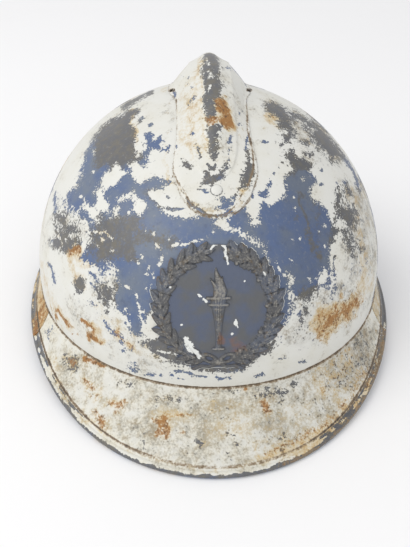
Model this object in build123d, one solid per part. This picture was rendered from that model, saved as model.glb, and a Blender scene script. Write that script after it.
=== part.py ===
from build123d import *
import math
import os

# Steel combat helmet of the 1915 pattern: a pressed bowl, a separate front visor and neck
# guard, a riveted comb, a pronged front badge, a laced leather liner and a chinstrap.
# Millimetres. +Z is up, the visor points to -Y, and +X is on the right seen from the front.
# The modelling frame has the bowl's axis at x = y = 0. Every piece is written after a move
# along Y that puts the middle of the whole length at y = 0.

# Sheet metal and general gaps
sheet = 0.8
seat_gap = 0.1
cut_overrun = 4.0

# Bowl, outside
bowl_half_width = 103.4
bowl_half_length = 114.0
bowl_rise = 105.0
widest_level = 28.0
dome_low_angle = -20.0

# Lower edge of the bowl, where the visor and the neck guard begin
joint_level = 27.1
joint_side_dip = 3.1

# Brim: bead all round, standing on the front and rear arcs
bead_radius = 1.9
rest_flat_depth = 0.15
brim_half_width = 111.2
front_reach = 149.3
rear_reach = 135.0
side_arch = 6.1
arch_start_angle = 25.0
arch_full_angle = 75.0
arch_fall_angle = 95.0
arch_end_angle = 140.0
flange_height = 5.0
bend_out = 1.5
bend_drop = 0.75
bead_step = 1.0
flare_sag_share = 0.03
seam_angle = 69.0
seam_gap_angle = 0.25
lap_angle = 6.5
lap_root_angle = 5.0
lap_rise_share = 0.33
lap_bite = 0.15
lap_gap = 0.4
lap_relief = 0.6
visor_sections = 13
guard_sections = 23

# Ventilation slot in the crown, under the comb
vent_length = 60.0
vent_width = 13.0
vent_back = 10.0

# Comb
comb_front = 78.0
comb_rear = 98.0
comb_half_width = 23.0
comb_height = 16.8
comb_lip = 1.2
comb_step = 1.1
comb_ridge_half_width = 4.6
comb_ridge_round = 1.9
comb_body_depth = 4.0
comb_front_rivet = 67.5
comb_rear_rivet = 88.0
side_vent_radius = 1.7
side_vent_back = 11.0

# Comb outline, one side: shares of comb_half_width, and of comb_front (minus) or comb_rear
outline_shares = [
    (0.40, -0.976), (0.70, -0.892), (0.875, -0.77), (0.905, -0.69), (0.862, -0.572),
    (0.822, -0.46), (0.818, -0.18), (0.855, -0.015), (0.985, 0.10), (1.0, 0.20),
    (0.985, 0.30), (0.855, 0.42), (0.818, 0.55), (0.86, 0.675), (0.905, 0.775),
    (0.85, 0.87), (0.65, 0.945), (0.35, 0.99),
]
# Comb body along its length: place as a share of comb_front (minus) or comb_rear, then
# shares of comb_half_width for its foot and step, and of comb_height for its shoulder and ridge
body_shares = [
    (-0.82, 0.745, 0.10, 0.02, 0.02), (-0.79, 0.78, 0.24, 0.05, 0.09),
    (-0.735, 0.825, 0.38, 0.085, 0.18), (-0.65, 0.835, 0.475, 0.12, 0.36),
    (-0.54, 0.785, 0.505, 0.165, 0.52), (-0.42, 0.762, 0.505, 0.24, 0.645),
    (-0.19, 0.765, 0.505, 0.415, 0.80), (0.0, 0.80, 0.505, 0.55, 0.915),
    (0.115, 0.925, 0.505, 0.64, 0.975), (0.275, 0.93, 0.505, 0.65, 1.0),
    (0.41, 0.80, 0.505, 0.565, 0.95), (0.56, 0.765, 0.505, 0.385, 0.82),
    (0.69, 0.79, 0.49, 0.21, 0.56), (0.785, 0.83, 0.40, 0.095, 0.24),
    (0.84, 0.78, 0.24, 0.05, 0.09), (0.87, 0.74, 0.10, 0.02, 0.02),
]

# Rivets of the comb
rivet_head_radius = 3.0
rivet_head_height = 1.3
rivet_shank_radius = 1.25
rivet_hole_gap = 0.05
rivet_washer_radius = 4.2
rivet_washer = 0.8
rivet_tail_radius = 2.2
rivet_tail_height = 0.8

# Badge
badge_radius = 34.5
badge_level = 70.0
badge_tilt = 25.8
badge_plate = 0.7
badge_relief = 1.3
badge_relief_bite = 0.3
wreath_radius = 26.5
wreath_opening_angle = 20.0
wreath_pairs = 8
leaf_length = 11.0
leaf_width = 4.4
leaf_splay_angle = 34.0
leaf_root_share = 0.2
stem_width = 1.3
torch_height = 40.0
torch_top_width = 8.5
torch_foot_width = 2.8
flame_height = 14.5
flame_width = 8.8
flame_belly_share = 0.33
bow_length = 9.0
bow_width = 4.6
bow_tilt_angle = 25.0
badge_depth = 30.0

# Prongs of the badge, bent over inside the bowl
prong_width = 5.0
prong_thickness = 0.8
prong_fold = 9.0
prong_spread = 24.0
prong_slot_gap = 0.3

# Liner pack, measured inwards from the outside of the bowl
spacer_outside = 2.0
spacer_depth = 5.0
spacer_sheet = 0.5
spacer_low = 26.0
spacer_high = 42.0
spacer_span = 54.0
spacer_waves = 7
spacer_corner_radius = 0.7
side_spacer_forward = 34.0
pack_gap = 0.2
felt_thickness = 1.8
felt_low = 25.5
felt_high = 46.0
leather_thickness = 1.6
leather_low = 25.0
leather_turn_level = 40.0
leather_rise = 70.5
tongues = 7
tongue_gap_level = 54.0
tongue_gap_crown = 9.4
tongue_gap_base = 2.6
crown_hole_radius = 20.0

# Lace through the tongue tips
lace_radius = 1.2
lace_ring_radius = 26.0
lace_weave = 2.4
lace_turn_angle = 6.0
lace_edge_angle = 18.0
lace_end_angle = 2.0
lace_slot_length = 8.2
lace_slot_width = 3.2
lace_bend_share = 0.45
knot_radius = 3.6
knot_height_share = 0.8

# Liner staples, soldered inside the bowl and bent over the leather
staple_width = 4.0
staple_thickness = 0.7
staple_foot = 7.0
staple_fold = 7.0
staple_level = 36.0
staple_slot_gap = 0.15

# Chinstrap hangers, swivel rings and strap
pivot_back = 12.0
pivot_level = 12.0
hanger_width = 11.0
hanger_thickness = 1.2
hanger_gap = 0.25
hanger_top = 44.0
hanger_step_level = 33.0
ring_wire_radius = 1.5
ring_clear_width = 17.0
ring_drop = 9.0
ring_corner_radius = 2.2
ring_plane = 92.95
pivot_running_gap = 0.08
ring_head_radius = 2.7
ring_head_thickness = 1.2
strap_width = 15.0
strap_thickness = 2.0
strap_layer_gap = 0.1
strap_depth = 98.0
strap_bottom_half = 48.0
strap_shoulder_out = 86.0
strap_shoulder_depth = 46.0
strap_corner_radius = 34.0
strap_overlap = 24.0
strap_eye_gap = 0.15
slider_length = 9.0
slider_wall = 1.0
slider_gap = 0.15
floor_gap = 0.3
strap_rivet_radius = 1.5
strap_rivet_head_radius = 3.2
strap_rivet_head = 1.0
strap_rivet_along = 15.0

# Worked out from the sizes above
bead_half_width = brim_half_width - bead_radius
bead_front = front_reach - bead_radius
bead_rear = rear_reach - bead_radius
centre_shift = (front_reach - rear_reach) / 2
joint_arc_radius = (bowl_half_width ** 2 + joint_side_dip ** 2) / (2 * joint_side_dip)
leather_outside = spacer_outside + spacer_depth + felt_thickness + 2 * pack_gap
leather_inside = leather_outside + leather_thickness
far_out = 2 * bowl_half_length


def dome(grow):
    """The bowl's outline solid down to below the joint, grown or shrunk on its half axes."""
    ball = Sphere(1, arc_size1=dome_low_angle, align=None)
    size = (bowl_half_width + grow, bowl_half_length + grow, bowl_rise + grow)
    return Pos(0, 0, widest_level) * scale(ball, by=size)


def dome_layer(low, high):
    """The space between two offsets of the bowl's outside."""
    return dome(high) - dome(low)


def dome_height(x, y):
    """Level of the bowl's outside above a point of the plan."""
    inside = 1 - (x / bowl_half_width) ** 2 - (y / bowl_half_length) ** 2
    return widest_level + bowl_rise * math.sqrt(inside)


def dome_frame(x, y):
    """A plane that touches the bowl's outside above a point of the plan."""
    z = dome_height(x, y)
    normal = Vector(
        x / bowl_half_width ** 2,
        y / bowl_half_length ** 2,
        (z - widest_level) / bowl_rise ** 2,
    )
    return Plane(origin=(x, y, z), x_dir=(1, 0, 0), z_dir=normal)


def joint_height(x):
    """Level of the bowl's lower edge at a distance from the middle plane."""
    return joint_level - joint_arc_radius + math.sqrt(joint_arc_radius ** 2 - x ** 2)


def smooth_share(angle, low, high):
    """A smooth step from 0 at the low angle to 1 at the high one."""
    share = min(max((angle - low) / (high - low), 0), 1)
    return share * share * (3 - 2 * share)


def bead_height(angle):
    """Level of the bead's centre: flat in front and behind, arched at the sides."""
    turn = abs((angle + 180) % 360 - 180)
    rise = smooth_share(turn, arch_start_angle, arch_full_angle)
    fall = smooth_share(turn, arch_fall_angle, arch_end_angle)
    return bead_radius - rest_flat_depth + side_arch * rise * (1 - fall)


def brim_station(angle):
    """Joint point, outward direction and reach of the brim at an angle from the front."""
    turn = math.radians(angle)
    reach = bead_front if math.cos(turn) > 0 else bead_rear
    x, y = bead_half_width * math.sin(turn), -reach * math.cos(turn)
    normal = Vector(x / bead_half_width ** 2, y / reach ** 2).normalized()
    a = (normal.X / bowl_half_width) ** 2 + (normal.Y / bowl_half_length) ** 2
    b = x * normal.X / bowl_half_width ** 2 + y * normal.Y / bowl_half_length ** 2
    c = (x / bowl_half_width) ** 2 + (y / bowl_half_length) ** 2 - 1
    reach_out = (b - math.sqrt(b * b - a * c)) / a
    return Vector(x, y) - normal * reach_out, normal, reach_out


def brim_profile(angle):
    """Corner points of the brim's section, as distance out from the joint and level."""
    foot, normal, reach_out = brim_station(angle)
    top = joint_height(foot.X)
    centre = Vector(reach_out, bead_height(angle))
    outer_face = -sheet - seat_gap
    bend = Vector(outer_face + bend_out, top - seat_gap - bend_drop)
    down = (centre - bend).normalized()
    up = Vector(-down.Y, down.X)
    crease_up = bead_radius - bead_step
    crease = centre + up * crease_up - down * math.sqrt(bead_radius ** 2 - crease_up ** 2)
    under_up = crease_up - sheet
    under = centre + up * under_up - down * math.sqrt(bead_radius ** 2 - under_up ** 2)
    sag = up * ((crease - bend).length * flare_sag_share)
    points = {
        "flange_top": Vector(outer_face, top + flange_height),
        "flange_foot": Vector(outer_face, top - seat_gap),
        "bend": bend,
        "flare": (bend + crease) / 2 - sag,
        "crease": crease,
        "bead_side": centre + down * bead_radius,
        "under": under,
        "flare_under": (bend + crease) / 2 - sag - up * sheet,
        "bend_under": bend - up * sheet,
        "foot_under": Vector(outer_face - sheet, top - seat_gap - bend_drop / 2),
        "flange_inner": Vector(outer_face - sheet, top + flange_height),
    }
    return points, foot, normal, up


def in_section(point, foot, normal):
    """A profile point placed in space."""
    return Vector(foot.X + point.X * normal.X, foot.Y + point.X * normal.Y, point.Y)


def brim_section(angle):
    """One closed section of the brim: flange, bend, flare and rolled bead."""
    points, foot, normal, up = brim_profile(angle)
    p = {name: in_section(point, foot, normal) for name, point in points.items()}
    edges = [
        Line(p["flange_top"], p["flange_foot"]),
        Line(p["flange_foot"], p["bend"]),
        ThreePointArc(p["bend"], p["flare"], p["crease"]),
        ThreePointArc(p["crease"], p["bead_side"], p["under"]),
        ThreePointArc(p["under"], p["flare_under"], p["bend_under"]),
        Line(p["bend_under"], p["foot_under"]),
        Line(p["foot_under"], p["flange_inner"]),
        Line(p["flange_inner"], p["flange_top"]),
    ]
    return Face(Wire(edges))


def lap_section(angle, drop):
    """One section of the tongue that the neck guard slides under the visor's end."""
    points, foot, normal, up = brim_profile(angle)
    down = Vector(up.Y, -up.X)
    outer_end = points["under"] - down * lap_relief
    line = [outer_end, points["flare_under"], points["bend_under"] + down * lap_relief]
    high = [in_section(p - up * drop, foot, normal) for p in line]
    low = [in_section(p - up * (drop + sheet), foot, normal) for p in line]
    edges = [
        ThreePointArc(high[0], high[1], high[2]),
        Line(high[2], low[2]),
        ThreePointArc(low[2], low[1], low[0]),
        Line(low[0], high[0]),
    ]
    return Face(Wire(edges))


def sweep_brim(start, end, count):
    """A stretch of brim lofted through evenly spaced sections, cut flat where it stands."""
    step = (end - start) / (count - 1)
    band = loft([brim_section(start + step * i) for i in range(count)])
    floor = Pos(0, 0, -far_out) * Box(2 * far_out, 2 * far_out, 2 * far_out)
    return band - floor


def above_joint():
    """Everything above the bowl's gently arched lower edge."""
    side = bowl_half_width + cut_overrun
    low, high = joint_height(side), widest_level + bowl_rise + cut_overrun
    corners = [(side, 0, low), (side, 0, high), (-side, 0, high), (-side, 0, low)]
    edges = [Line(a, b) for a, b in zip(corners, corners[1:])]
    edges.append(ThreePointArc(corners[3], (0, 0, joint_level), corners[0]))
    return extrude(make_face(Wire(edges)), far_out, both=True)


def make_shell():
    """The bowl with its vent slot, rivet holes and badge slots."""
    bowl = (dome(0) & above_joint()) - dome(-sheet)
    slot = Rot(0, 0, 90) * SlotOverall(vent_length, vent_width)
    bowl = bowl - Pos(0, vent_back, widest_level + bowl_rise / 2) * extrude(slot, far_out)
    for frame in comb_rivet_frames():
        bowl = bowl - rivet_hole(frame)
    return bowl - prong_prisms(prong_slot_gap, 0)


def make_visor():
    """The front visor between the two side seams."""
    return sweep_brim(-seam_angle, seam_angle, visor_sections)


def make_neck_guard():
    """The neck guard round the rest of the bowl, with a lap tongue at each end."""
    start = seam_angle + seam_gap_angle
    guard = sweep_brim(start, 360 - start, guard_sections)
    steps = [
        (start + lap_root_angle, -lap_bite), (start + lap_root_angle * lap_rise_share, -lap_bite),
        (seam_angle, lap_gap), (seam_angle - lap_angle, lap_gap),
    ]
    for first, second in zip(steps, steps[1:]):
        tongue = loft([lap_section(*first), lap_section(*second)], ruled=True)
        guard = guard + tongue + mirror(tongue, about=Plane.YZ)
    return guard


def along_comb(share):
    """Place along the comb: minus shares run forwards, plus shares backwards."""
    return share * (comb_front if share < 0 else comb_rear)


def comb_outline():
    """Plan of the comb's foot: front lobe, waist, vent bulge, waist and rear lobe."""
    side = [(comb_half_width * w, along_comb(s)) for w, s in outline_shares]
    points = [(0, -comb_front)] + side + [(0, comb_rear)]
    points += [(-x, y) for x, y in reversed(side)]
    return make_face(Spline(*points, periodic=True))


def comb_section(along, foot_share, step_share, shoulder_share, ridge_share, inset):
    """One cross-section of the comb's raised body, drawn in by inset."""
    y = along_comb(along)
    foot = comb_half_width * foot_share - inset
    step_out = comb_half_width * step_share - inset
    ridge_out = min(comb_ridge_half_width - inset, step_out / 2)
    shoulder = comb_height * shoulder_share - inset
    ridge = comb_height * ridge_share - inset
    lip = min(comb_lip, shoulder + inset) - inset
    step = min(comb_step, max(ridge - shoulder, 0))
    fall = min(comb_ridge_round, max(ridge - shoulder - step, 0) / 2)
    low = dome_height(foot, y) - comb_body_depth - inset
    ridge_side = dome_height(ridge_out, y) + ridge - fall
    half = [
        (foot, low),
        (foot, dome_height(foot, y) + lip),
        (step_out, dome_height(step_out, y) + shoulder),
        (step_out - min(comb_step, step_out / 2) / 2, dome_height(step_out, y) + shoulder + step),
        (ridge_out, ridge_side),
    ]
    right = [Vector(x, y, z) for x, z in half]
    left = [Vector(-x, y, z) for x, z in half]
    top = Vector(0, y, dome_height(0, y) + ridge)
    edges = [Line(left[0], right[0])]
    edges += [Line(a, b) for a, b in zip(right, right[1:])]
    edges.append(ThreePointArc(right[-1], top, left[-1]))
    edges += [Line(b, a) for a, b in reversed(list(zip(left, left[1:])))]
    return Face(Wire(edges))


def comb_body(inset):
    """The comb's raised body as one loft along the crown."""
    return loft([comb_section(*row, inset) for row in body_shares])


def make_comb():
    """The hollow comb with its flange, rivet holes and side vents."""
    foot = extrude(comb_outline(), far_out) & dome_layer(seat_gap, seat_gap + sheet)
    body = comb_body(0) - dome(seat_gap)
    comb = foot + body - comb_body(sheet)
    vent_level = dome_height(comb_half_width, side_vent_back) + side_vent_radius / 2
    vent = Pos(0, side_vent_back, vent_level) * Cylinder(
        side_vent_radius, 3 * comb_half_width, rotation=(0, 90, 0)
    )
    comb = comb - vent
    for frame in comb_rivet_frames():
        comb = comb - rivet_hole(frame)
    return comb


def comb_rivet_frames():
    """Planes on the bowl where the comb's front and rear rivets pass."""
    return [dome_frame(0, -comb_front_rivet), dome_frame(0, comb_rear_rivet)]


def upright(radius, low, high):
    """A cylinder along Z between two levels."""
    return Pos(0, 0, (low + high) / 2) * Cylinder(radius, high - low)


def rivet_hole(frame):
    """A clearance hole along a rivet's axis."""
    length = 2 * (cut_overrun + comb_lip)
    return frame * Cylinder(rivet_shank_radius + rivet_hole_gap, length)


def comb_rivet(frame):
    """Round-headed rivet, its tail peened over the inner washer."""
    top = sheet + 2 * seat_gap
    bottom = -sheet - rivet_washer - 2 * seat_gap
    half_ball = Sphere(1, arc_size1=0, align=None)
    head = scale(half_ball, by=(rivet_head_radius, rivet_head_radius, rivet_head_height))
    shank = upright(rivet_shank_radius, bottom, top + rivet_head_height / 2)
    tail = upright(rivet_tail_radius, bottom - rivet_tail_height, bottom)
    return frame * (Pos(0, 0, top) * head + shank + tail)


def comb_washer(frame):
    """Inner washer under a rivet's tail."""
    hole = rivet_shank_radius + rivet_hole_gap
    disc = Cylinder(rivet_washer_radius, rivet_washer) - Cylinder(hole, 2 * rivet_washer)
    return frame * Pos(0, 0, -sheet - seat_gap - rivet_washer / 2) * disc


def badge_frame():
    """Plane through the middle of the badge, facing forwards and up."""
    lean = math.radians(badge_tilt)
    depth = math.sqrt(1 - ((badge_level - widest_level) / bowl_rise) ** 2)
    origin = (0, -bowl_half_length * depth, badge_level)
    return Plane(origin=origin, x_dir=(1, 0, 0), z_dir=(0, -math.cos(lean), math.sin(lean)))


def on_badge(sketch, low, high):
    """A flat design pressed onto the bowl between two offsets of its outside."""
    prism = extrude(badge_frame() * sketch, badge_depth / 2, both=True)
    return prism & dome_layer(low, high)


def leaf(x, y, angle):
    """A pointed leaf from its stem end."""
    tip = (leaf_length, 0)
    upper = ThreePointArc((0, 0), (leaf_length / 2, leaf_width / 2), tip)
    lower = ThreePointArc(tip, (leaf_length / 2, -leaf_width / 2), (0, 0))
    return Pos(x, y) * Rot(0, 0, angle) * make_face(upper.edges() + lower.edges())


def wreath_sketch():
    """Two leafy branches that rise from the bow, with stems and berries between leaves."""
    span = 180 - 2 * wreath_opening_angle
    ring = Circle(wreath_radius + stem_width / 2) - Circle(wreath_radius - stem_width / 2)
    gap = Pos(0, wreath_radius) * Rectangle(
        2 * wreath_radius * math.sin(math.radians(wreath_opening_angle)), wreath_radius
    )
    design = ring - gap
    for side in (1, -1):
        for i in range(wreath_pairs):
            place = (i + leaf_root_share) / wreath_pairs
            turn = -90 + side * (wreath_opening_angle + span * place)
            x = wreath_radius * math.cos(math.radians(turn))
            y = wreath_radius * math.sin(math.radians(turn))
            along = turn + side * 90
            outer = leaf(x, y, along - side * leaf_splay_angle)
            inner = leaf(x, y, along + side * leaf_splay_angle)
            design = design + outer + inner
    return design


def bow_sketch():
    """Ribbon bow that ties the two branches together."""
    loop = Pos(bow_length / 2, 0) * Ellipse(bow_length / 2, bow_width / 2)
    place = Pos(0, -wreath_radius)
    bow = Rot(0, 0, bow_tilt_angle) * loop
    return place * (bow + mirror(bow, about=Plane.YZ))


def torch_sketch():
    """Plain upright torch with a pointed flame."""
    low = -torch_height / 2
    cup = low + torch_height - flame_height
    belly = cup + flame_height * flame_belly_share
    tip = cup + flame_height
    handle = Polygon(
        (-torch_foot_width / 2, low), (torch_foot_width / 2, low),
        (torch_top_width / 2, cup), (-torch_top_width / 2, cup), align=None,
    )
    left = ThreePointArc((-flame_width / 2, cup), (-flame_width / 2, belly), (0, tip))
    right = ThreePointArc((0, tip), (flame_width / 2, belly), (flame_width / 2, cup))
    base = Line((flame_width / 2, cup), (-flame_width / 2, cup))
    return handle + make_face(left.edges() + right.edges() + base.edges())


def make_badge():
    """Curved plate with a raised wreath, bow and torch."""
    plate = on_badge(Circle(badge_radius), seat_gap, seat_gap + badge_plate)
    bottom = seat_gap + badge_plate - badge_relief_bite
    top = seat_gap + badge_plate + badge_relief
    design = wreath_sketch() + bow_sketch() + torch_sketch()
    return plate + on_badge(design, bottom, top)


def prong_prisms(gap, fold):
    """The two prongs' plan, as prisms along the badge's direction."""
    height = prong_thickness + 2 * gap + fold
    pair = Sketch() + [
        Pos(side * prong_spread, -fold / 2) * Rectangle(prong_width + 2 * gap, height)
        for side in (1, -1)
    ]
    return extrude(badge_frame() * pair, badge_depth / 2, both=True)


def make_prongs():
    """Badge prongs through the bowl, folded down against its inside."""
    inner = -sheet - seat_gap
    legs = prong_prisms(0, 0) & dome_layer(inner - prong_thickness, seat_gap)
    folds = prong_prisms(0, prong_fold) & dome_layer(inner - prong_thickness, inner)
    return legs + folds


def pack_point(angle, inset):
    """A point of the bowl's plan at an angle from the front, drawn in by inset."""
    turn = math.radians(angle)
    return (
        (bowl_half_width - inset) * math.sin(turn),
        -(bowl_half_length - inset) * math.cos(turn),
    )


def spacer_angles():
    """Middle angle of each spacer, from the front."""
    side = math.degrees(math.acos(side_spacer_forward / bowl_half_length))
    return {"front": 0, "right": side, "rear": 180, "left": -side}


def make_spacer(angle):
    """Corrugated strip that keeps the liner off the bowl."""
    half_turn = math.degrees(spacer_span / 2 / bowl_half_length)
    edge = spacer_sheet / 2
    outer, inner = spacer_outside + edge, spacer_outside + spacer_depth - edge
    count = 2 * spacer_waves
    points = []
    for i in range(count + 1):
        middle = angle - half_turn + 2 * half_turn * i / count
        quarter = half_turn / count / 2
        inset = outer if i % 2 else inner
        points += [pack_point(middle - quarter, inset), pack_point(middle + quarter, inset)]
    path = FilletPolyline(*points, radius=spacer_corner_radius)
    strip = extrude(trace(path, spacer_sheet), spacer_high - spacer_low)
    return Pos(0, 0, spacer_low) * strip - staple_slots()


def staple_frame(angle):
    """Plane at a staple: X points inwards, Z along the bowl's plan."""
    x, y = pack_point(angle, 0)
    inward = Vector(-x / bowl_half_width ** 2, -y / bowl_half_length ** 2)
    origin = Vector(x, y, staple_level)
    return Plane(origin=origin, x_dir=inward, z_dir=inward.cross(Vector(0, 0, 1)))


def staple_slots():
    """Slots through the spacers, the felt and the leather for the staples."""
    slots = Part()
    for angle in spacer_angles().values():
        thick = staple_thickness + 2 * staple_slot_gap
        through = 2 * (leather_inside + cut_overrun)
        slot = Box(through, thick, staple_width + 2 * staple_slot_gap)
        slots = slots + staple_frame(angle) * slot
    return slots


def make_staples():
    """Four staples: foot on the bowl, leg through the liner pack, end folded down."""
    staples = Part()
    for angle in spacer_angles().values():
        frame = staple_frame(angle)
        wall = sheet + seat_gap
        half = staple_thickness / 2
        end = leather_inside + 2 * pack_gap
        foot = Pos(wall + half, staple_foot / 2) * Rectangle(staple_thickness, staple_foot)
        leg = Pos((wall + end + staple_thickness) / 2, 0) * Rectangle(
            end + staple_thickness - wall, staple_thickness
        )
        fold = Pos(end + half, -staple_fold / 2) * Rectangle(staple_thickness, staple_fold)
        flat = foot + leg + fold
        staple = extrude(frame * flat, staple_width / 2, both=True)
        staples = staples + (staple & dome(-sheet))
    return staples


def pack_ring(outside, inside, low, high):
    """An upright elliptical band of the liner pack."""
    outer = Ellipse(bowl_half_width - outside, bowl_half_length - outside)
    inner = Ellipse(bowl_half_width - inside, bowl_half_length - inside)
    return Pos(0, 0, low) * extrude(outer - inner, high - low)


def make_felt():
    """Wool felt band between the spacers and the leather."""
    outside = spacer_outside + spacer_depth + pack_gap
    band = pack_ring(outside, outside + felt_thickness, felt_low, felt_high)
    return band - staple_slots()


def leather_cap(inset):
    """The liner's crown as half an ellipsoid above the headband."""
    ball = Sphere(1, arc_size1=0, align=None)
    rise = leather_rise - (inset - leather_outside)
    cap = scale(ball, by=(bowl_half_width - inset, bowl_half_length - inset, rise))
    return Pos(0, 0, leather_turn_level) * cap


def make_leather():
    """Leather headband that runs up into seven tongues with lace holes."""
    band = pack_ring(leather_outside, leather_inside, leather_low, leather_turn_level)
    liner = band + (leather_cap(leather_outside) - leather_cap(leather_inside))
    liner = liner - Pos(0, 0, leather_turn_level) * extrude(Circle(crown_hole_radius), far_out)
    far = bowl_half_length
    gap = Polygon(
        (0, -tongue_gap_crown / 2), (far, -tongue_gap_base / 2),
        (far, tongue_gap_base / 2), (0, tongue_gap_crown / 2), align=None,
    )
    wedge = Pos(0, 0, tongue_gap_level) * extrude(gap, far_out)
    hole = Pos(lace_ring_radius, 0) * Rectangle(lace_slot_width, lace_slot_length)
    punch = Pos(0, 0, tongue_gap_level) * extrude(hole, far_out)
    for i in range(tongues):
        liner = liner - Rot(0, 0, -90 + 360 * i / tongues) * wedge
        liner = liner - Rot(0, 0, -90 + 360 * (i + 0.5) / tongues) * punch
    return liner - staple_slots()


def lace_point(angle, lift):
    """A point of the lace at an angle from its knot, above or below the leather's middle."""
    turn = math.radians(angle)
    x, y = lace_ring_radius * math.sin(turn), -lace_ring_radius * math.cos(turn)
    inset = leather_outside + leather_thickness / 2
    rise = leather_rise - leather_thickness / 2
    inside = 1 - (x / (bowl_half_width - inset)) ** 2 - (y / (bowl_half_length - inset)) ** 2
    return (x, y, leather_turn_level + rise * math.sqrt(inside) + lift)


def make_lace():
    """Lace woven through the tongue tips and tied at the front."""
    points = [lace_point(lace_end_angle, 0)]
    for i in range(tongues):
        middle = 360 * (i + 0.5) / tongues
        for offset in (-lace_edge_angle, -lace_turn_angle):
            points.append(lace_point(middle + offset, lace_weave))
        for offset in (lace_turn_angle, lace_edge_angle):
            points.append(lace_point(middle + offset, -lace_weave))
    points.append(lace_point(360 - lace_end_angle, 0))
    runs = [(Vector(*b) - Vector(*a)).length for a, b in zip(points, points[1:])]
    radii = []
    for i in range(1, len(points) - 1):
        back = Vector(*points[i]) - Vector(*points[i - 1])
        ahead = Vector(*points[i + 1]) - Vector(*points[i])
        turn = math.radians(back.get_angle(ahead))
        radii.append(lace_bend_share * min(runs[i - 1], runs[i]) / math.tan(turn / 2))
    print("lace radii", [round(r, 1) for r in radii], "length", round(sum(runs), 1))
    path = FilletPolyline(*points, radius=radii)
    start = Plane(origin=path @ 0, z_dir=path % 0)
    cord = sweep(start * Circle(lace_radius), path=path)
    knot_size = (knot_radius, knot_radius, knot_radius * knot_height_share)
    knot = Pos(*lace_point(0, 0)) * scale(Sphere(1), by=knot_size)
    return cord + knot


def strap_angle():
    """Angle by which the stowed strap drops towards the floor, in degrees."""
    slider_half = strap_width / 2 + slider_gap + slider_wall
    return math.degrees(math.asin((pivot_level - slider_half - floor_gap) / strap_depth))


def strap_frame():
    """Plane of the strap's loop: X across, Y away from the pivots, Z over its width."""
    drop = math.radians(strap_angle())
    return Plane(
        origin=(0, pivot_back, pivot_level),
        x_dir=(1, 0, 0),
        z_dir=(0, math.sin(drop), math.cos(drop)),
    )


def strap_path():
    """Middle line of the strap's outer layer."""
    start = ring_plane + (strap_thickness + strap_layer_gap) / 2
    side = [
        (start, ring_drop), (strap_shoulder_out, strap_shoulder_depth),
        (strap_bottom_half, strap_depth),
    ]
    points = side + [(-x, y) for x, y in reversed(side)]
    return FilletPolyline(*points, radius=strap_corner_radius)


def strap_end():
    """Start point, direction and inward direction of the strap at one end."""
    start = Vector(ring_plane + (strap_thickness + strap_layer_gap) / 2, ring_drop)
    along = (Vector(strap_shoulder_out, strap_shoulder_depth) - start).normalized()
    return start, along, Vector(-along.Y, along.X)


def make_strap():
    """One leather strap, each end folded round a ring's bar and back on itself."""
    start, along, inward = strap_end()
    lap = start + inward * (strap_thickness + strap_layer_gap)
    second = Line(lap, lap + along * strap_overlap)
    eye_in = ring_wire_radius + strap_eye_gap
    eye = Pos(ring_plane, ring_drop) * (Circle(eye_in + strap_thickness) - Circle(eye_in))
    bridge_from = start + along * (strap_overlap - strap_thickness)
    bridge = Line(bridge_from + inward * strap_thickness / 2,
                  bridge_from + inward * (strap_thickness / 2 + strap_layer_gap))
    end = trace(second, strap_thickness) + trace(bridge, strap_thickness) + eye
    flat = trace(strap_path(), strap_thickness) + end + mirror(end, about=Plane.YZ)
    flat = flat - Pos(ring_plane, ring_drop) * Circle(eye_in)
    flat = flat - Pos(-ring_plane, ring_drop) * Circle(eye_in)
    strap = extrude(strap_frame() * flat, strap_width / 2, both=True)
    for side in (1, -1):
        strap = strap - strap_rivet_place(side) * Cylinder(
            strap_rivet_radius + rivet_hole_gap, 4 * strap_thickness + cut_overrun
        )
    return strap


def strap_rivet_place(side):
    """Place of the rivet that closes one end of the strap, with Z through both layers."""
    start, along, inward = strap_end()
    middle = start + along * strap_rivet_along
    middle = middle + inward * (strap_thickness + strap_layer_gap) / 2
    frame = strap_frame()
    origin = frame.from_local_coords(Vector(side * middle.X, middle.Y, 0))
    across = frame.from_local_coords(Vector(side * inward.X, inward.Y, 0)) - frame.origin
    return Plane(origin=origin, z_dir=across)


def make_strap_rivets():
    """One flat-headed rivet through each folded end of the strap."""
    through = 2 * strap_thickness + strap_layer_gap + 2 * seat_gap
    shank = Cylinder(strap_rivet_radius, through)
    head = Cylinder(strap_rivet_head_radius, strap_rivet_head)
    offset = (through + strap_rivet_head) / 2
    rivet = shank + Pos(0, 0, offset) * head + Pos(0, 0, -offset) * head
    return strap_rivet_place(1) * rivet + strap_rivet_place(-1) * rivet


def make_slider():
    """Steel keeper that slides on the straight run of the strap."""
    thick = strap_thickness + 2 * slider_gap
    wide = strap_width + 2 * slider_gap
    block = Box(slider_length, thick + 2 * slider_wall, wide + 2 * slider_wall)
    block = fillet(block.edges().filter_by(Axis.X), slider_wall / 2)
    keeper = block - Box(2 * slider_length, thick, wide)
    return strap_frame() * Pos(0, strap_depth, 0) * keeper


def make_ring(side):
    """Wire ring with a headed shank that swivels in its hanger."""
    half = ring_clear_width / 2 + ring_wire_radius
    corners = [(0, 0, 0), (0, 0, half), (0, ring_drop, half), (0, ring_drop, 0)]
    path = FilletPolyline(*corners, radius=ring_corner_radius)
    start = Plane(origin=path @ 0, z_dir=path % 0)
    half_loop = sweep(start * Circle(ring_wire_radius), path=path)
    loop = half_loop + mirror(half_loop, about=Plane.XY)
    head_start = hanger_outside() + 2 * seat_gap - ring_plane
    head_end = head_start + ring_head_thickness
    shank = upright(ring_wire_radius, 0, head_end)
    head = upright(ring_head_radius, head_start, head_end)
    pin = Rot(0, 90, 0) * (shank + head)
    ring = Pos(ring_plane, 0, 0) * (loop + pin)
    if side < 0:
        ring = mirror(ring, about=Plane.YZ)
    return strap_frame() * ring


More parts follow.
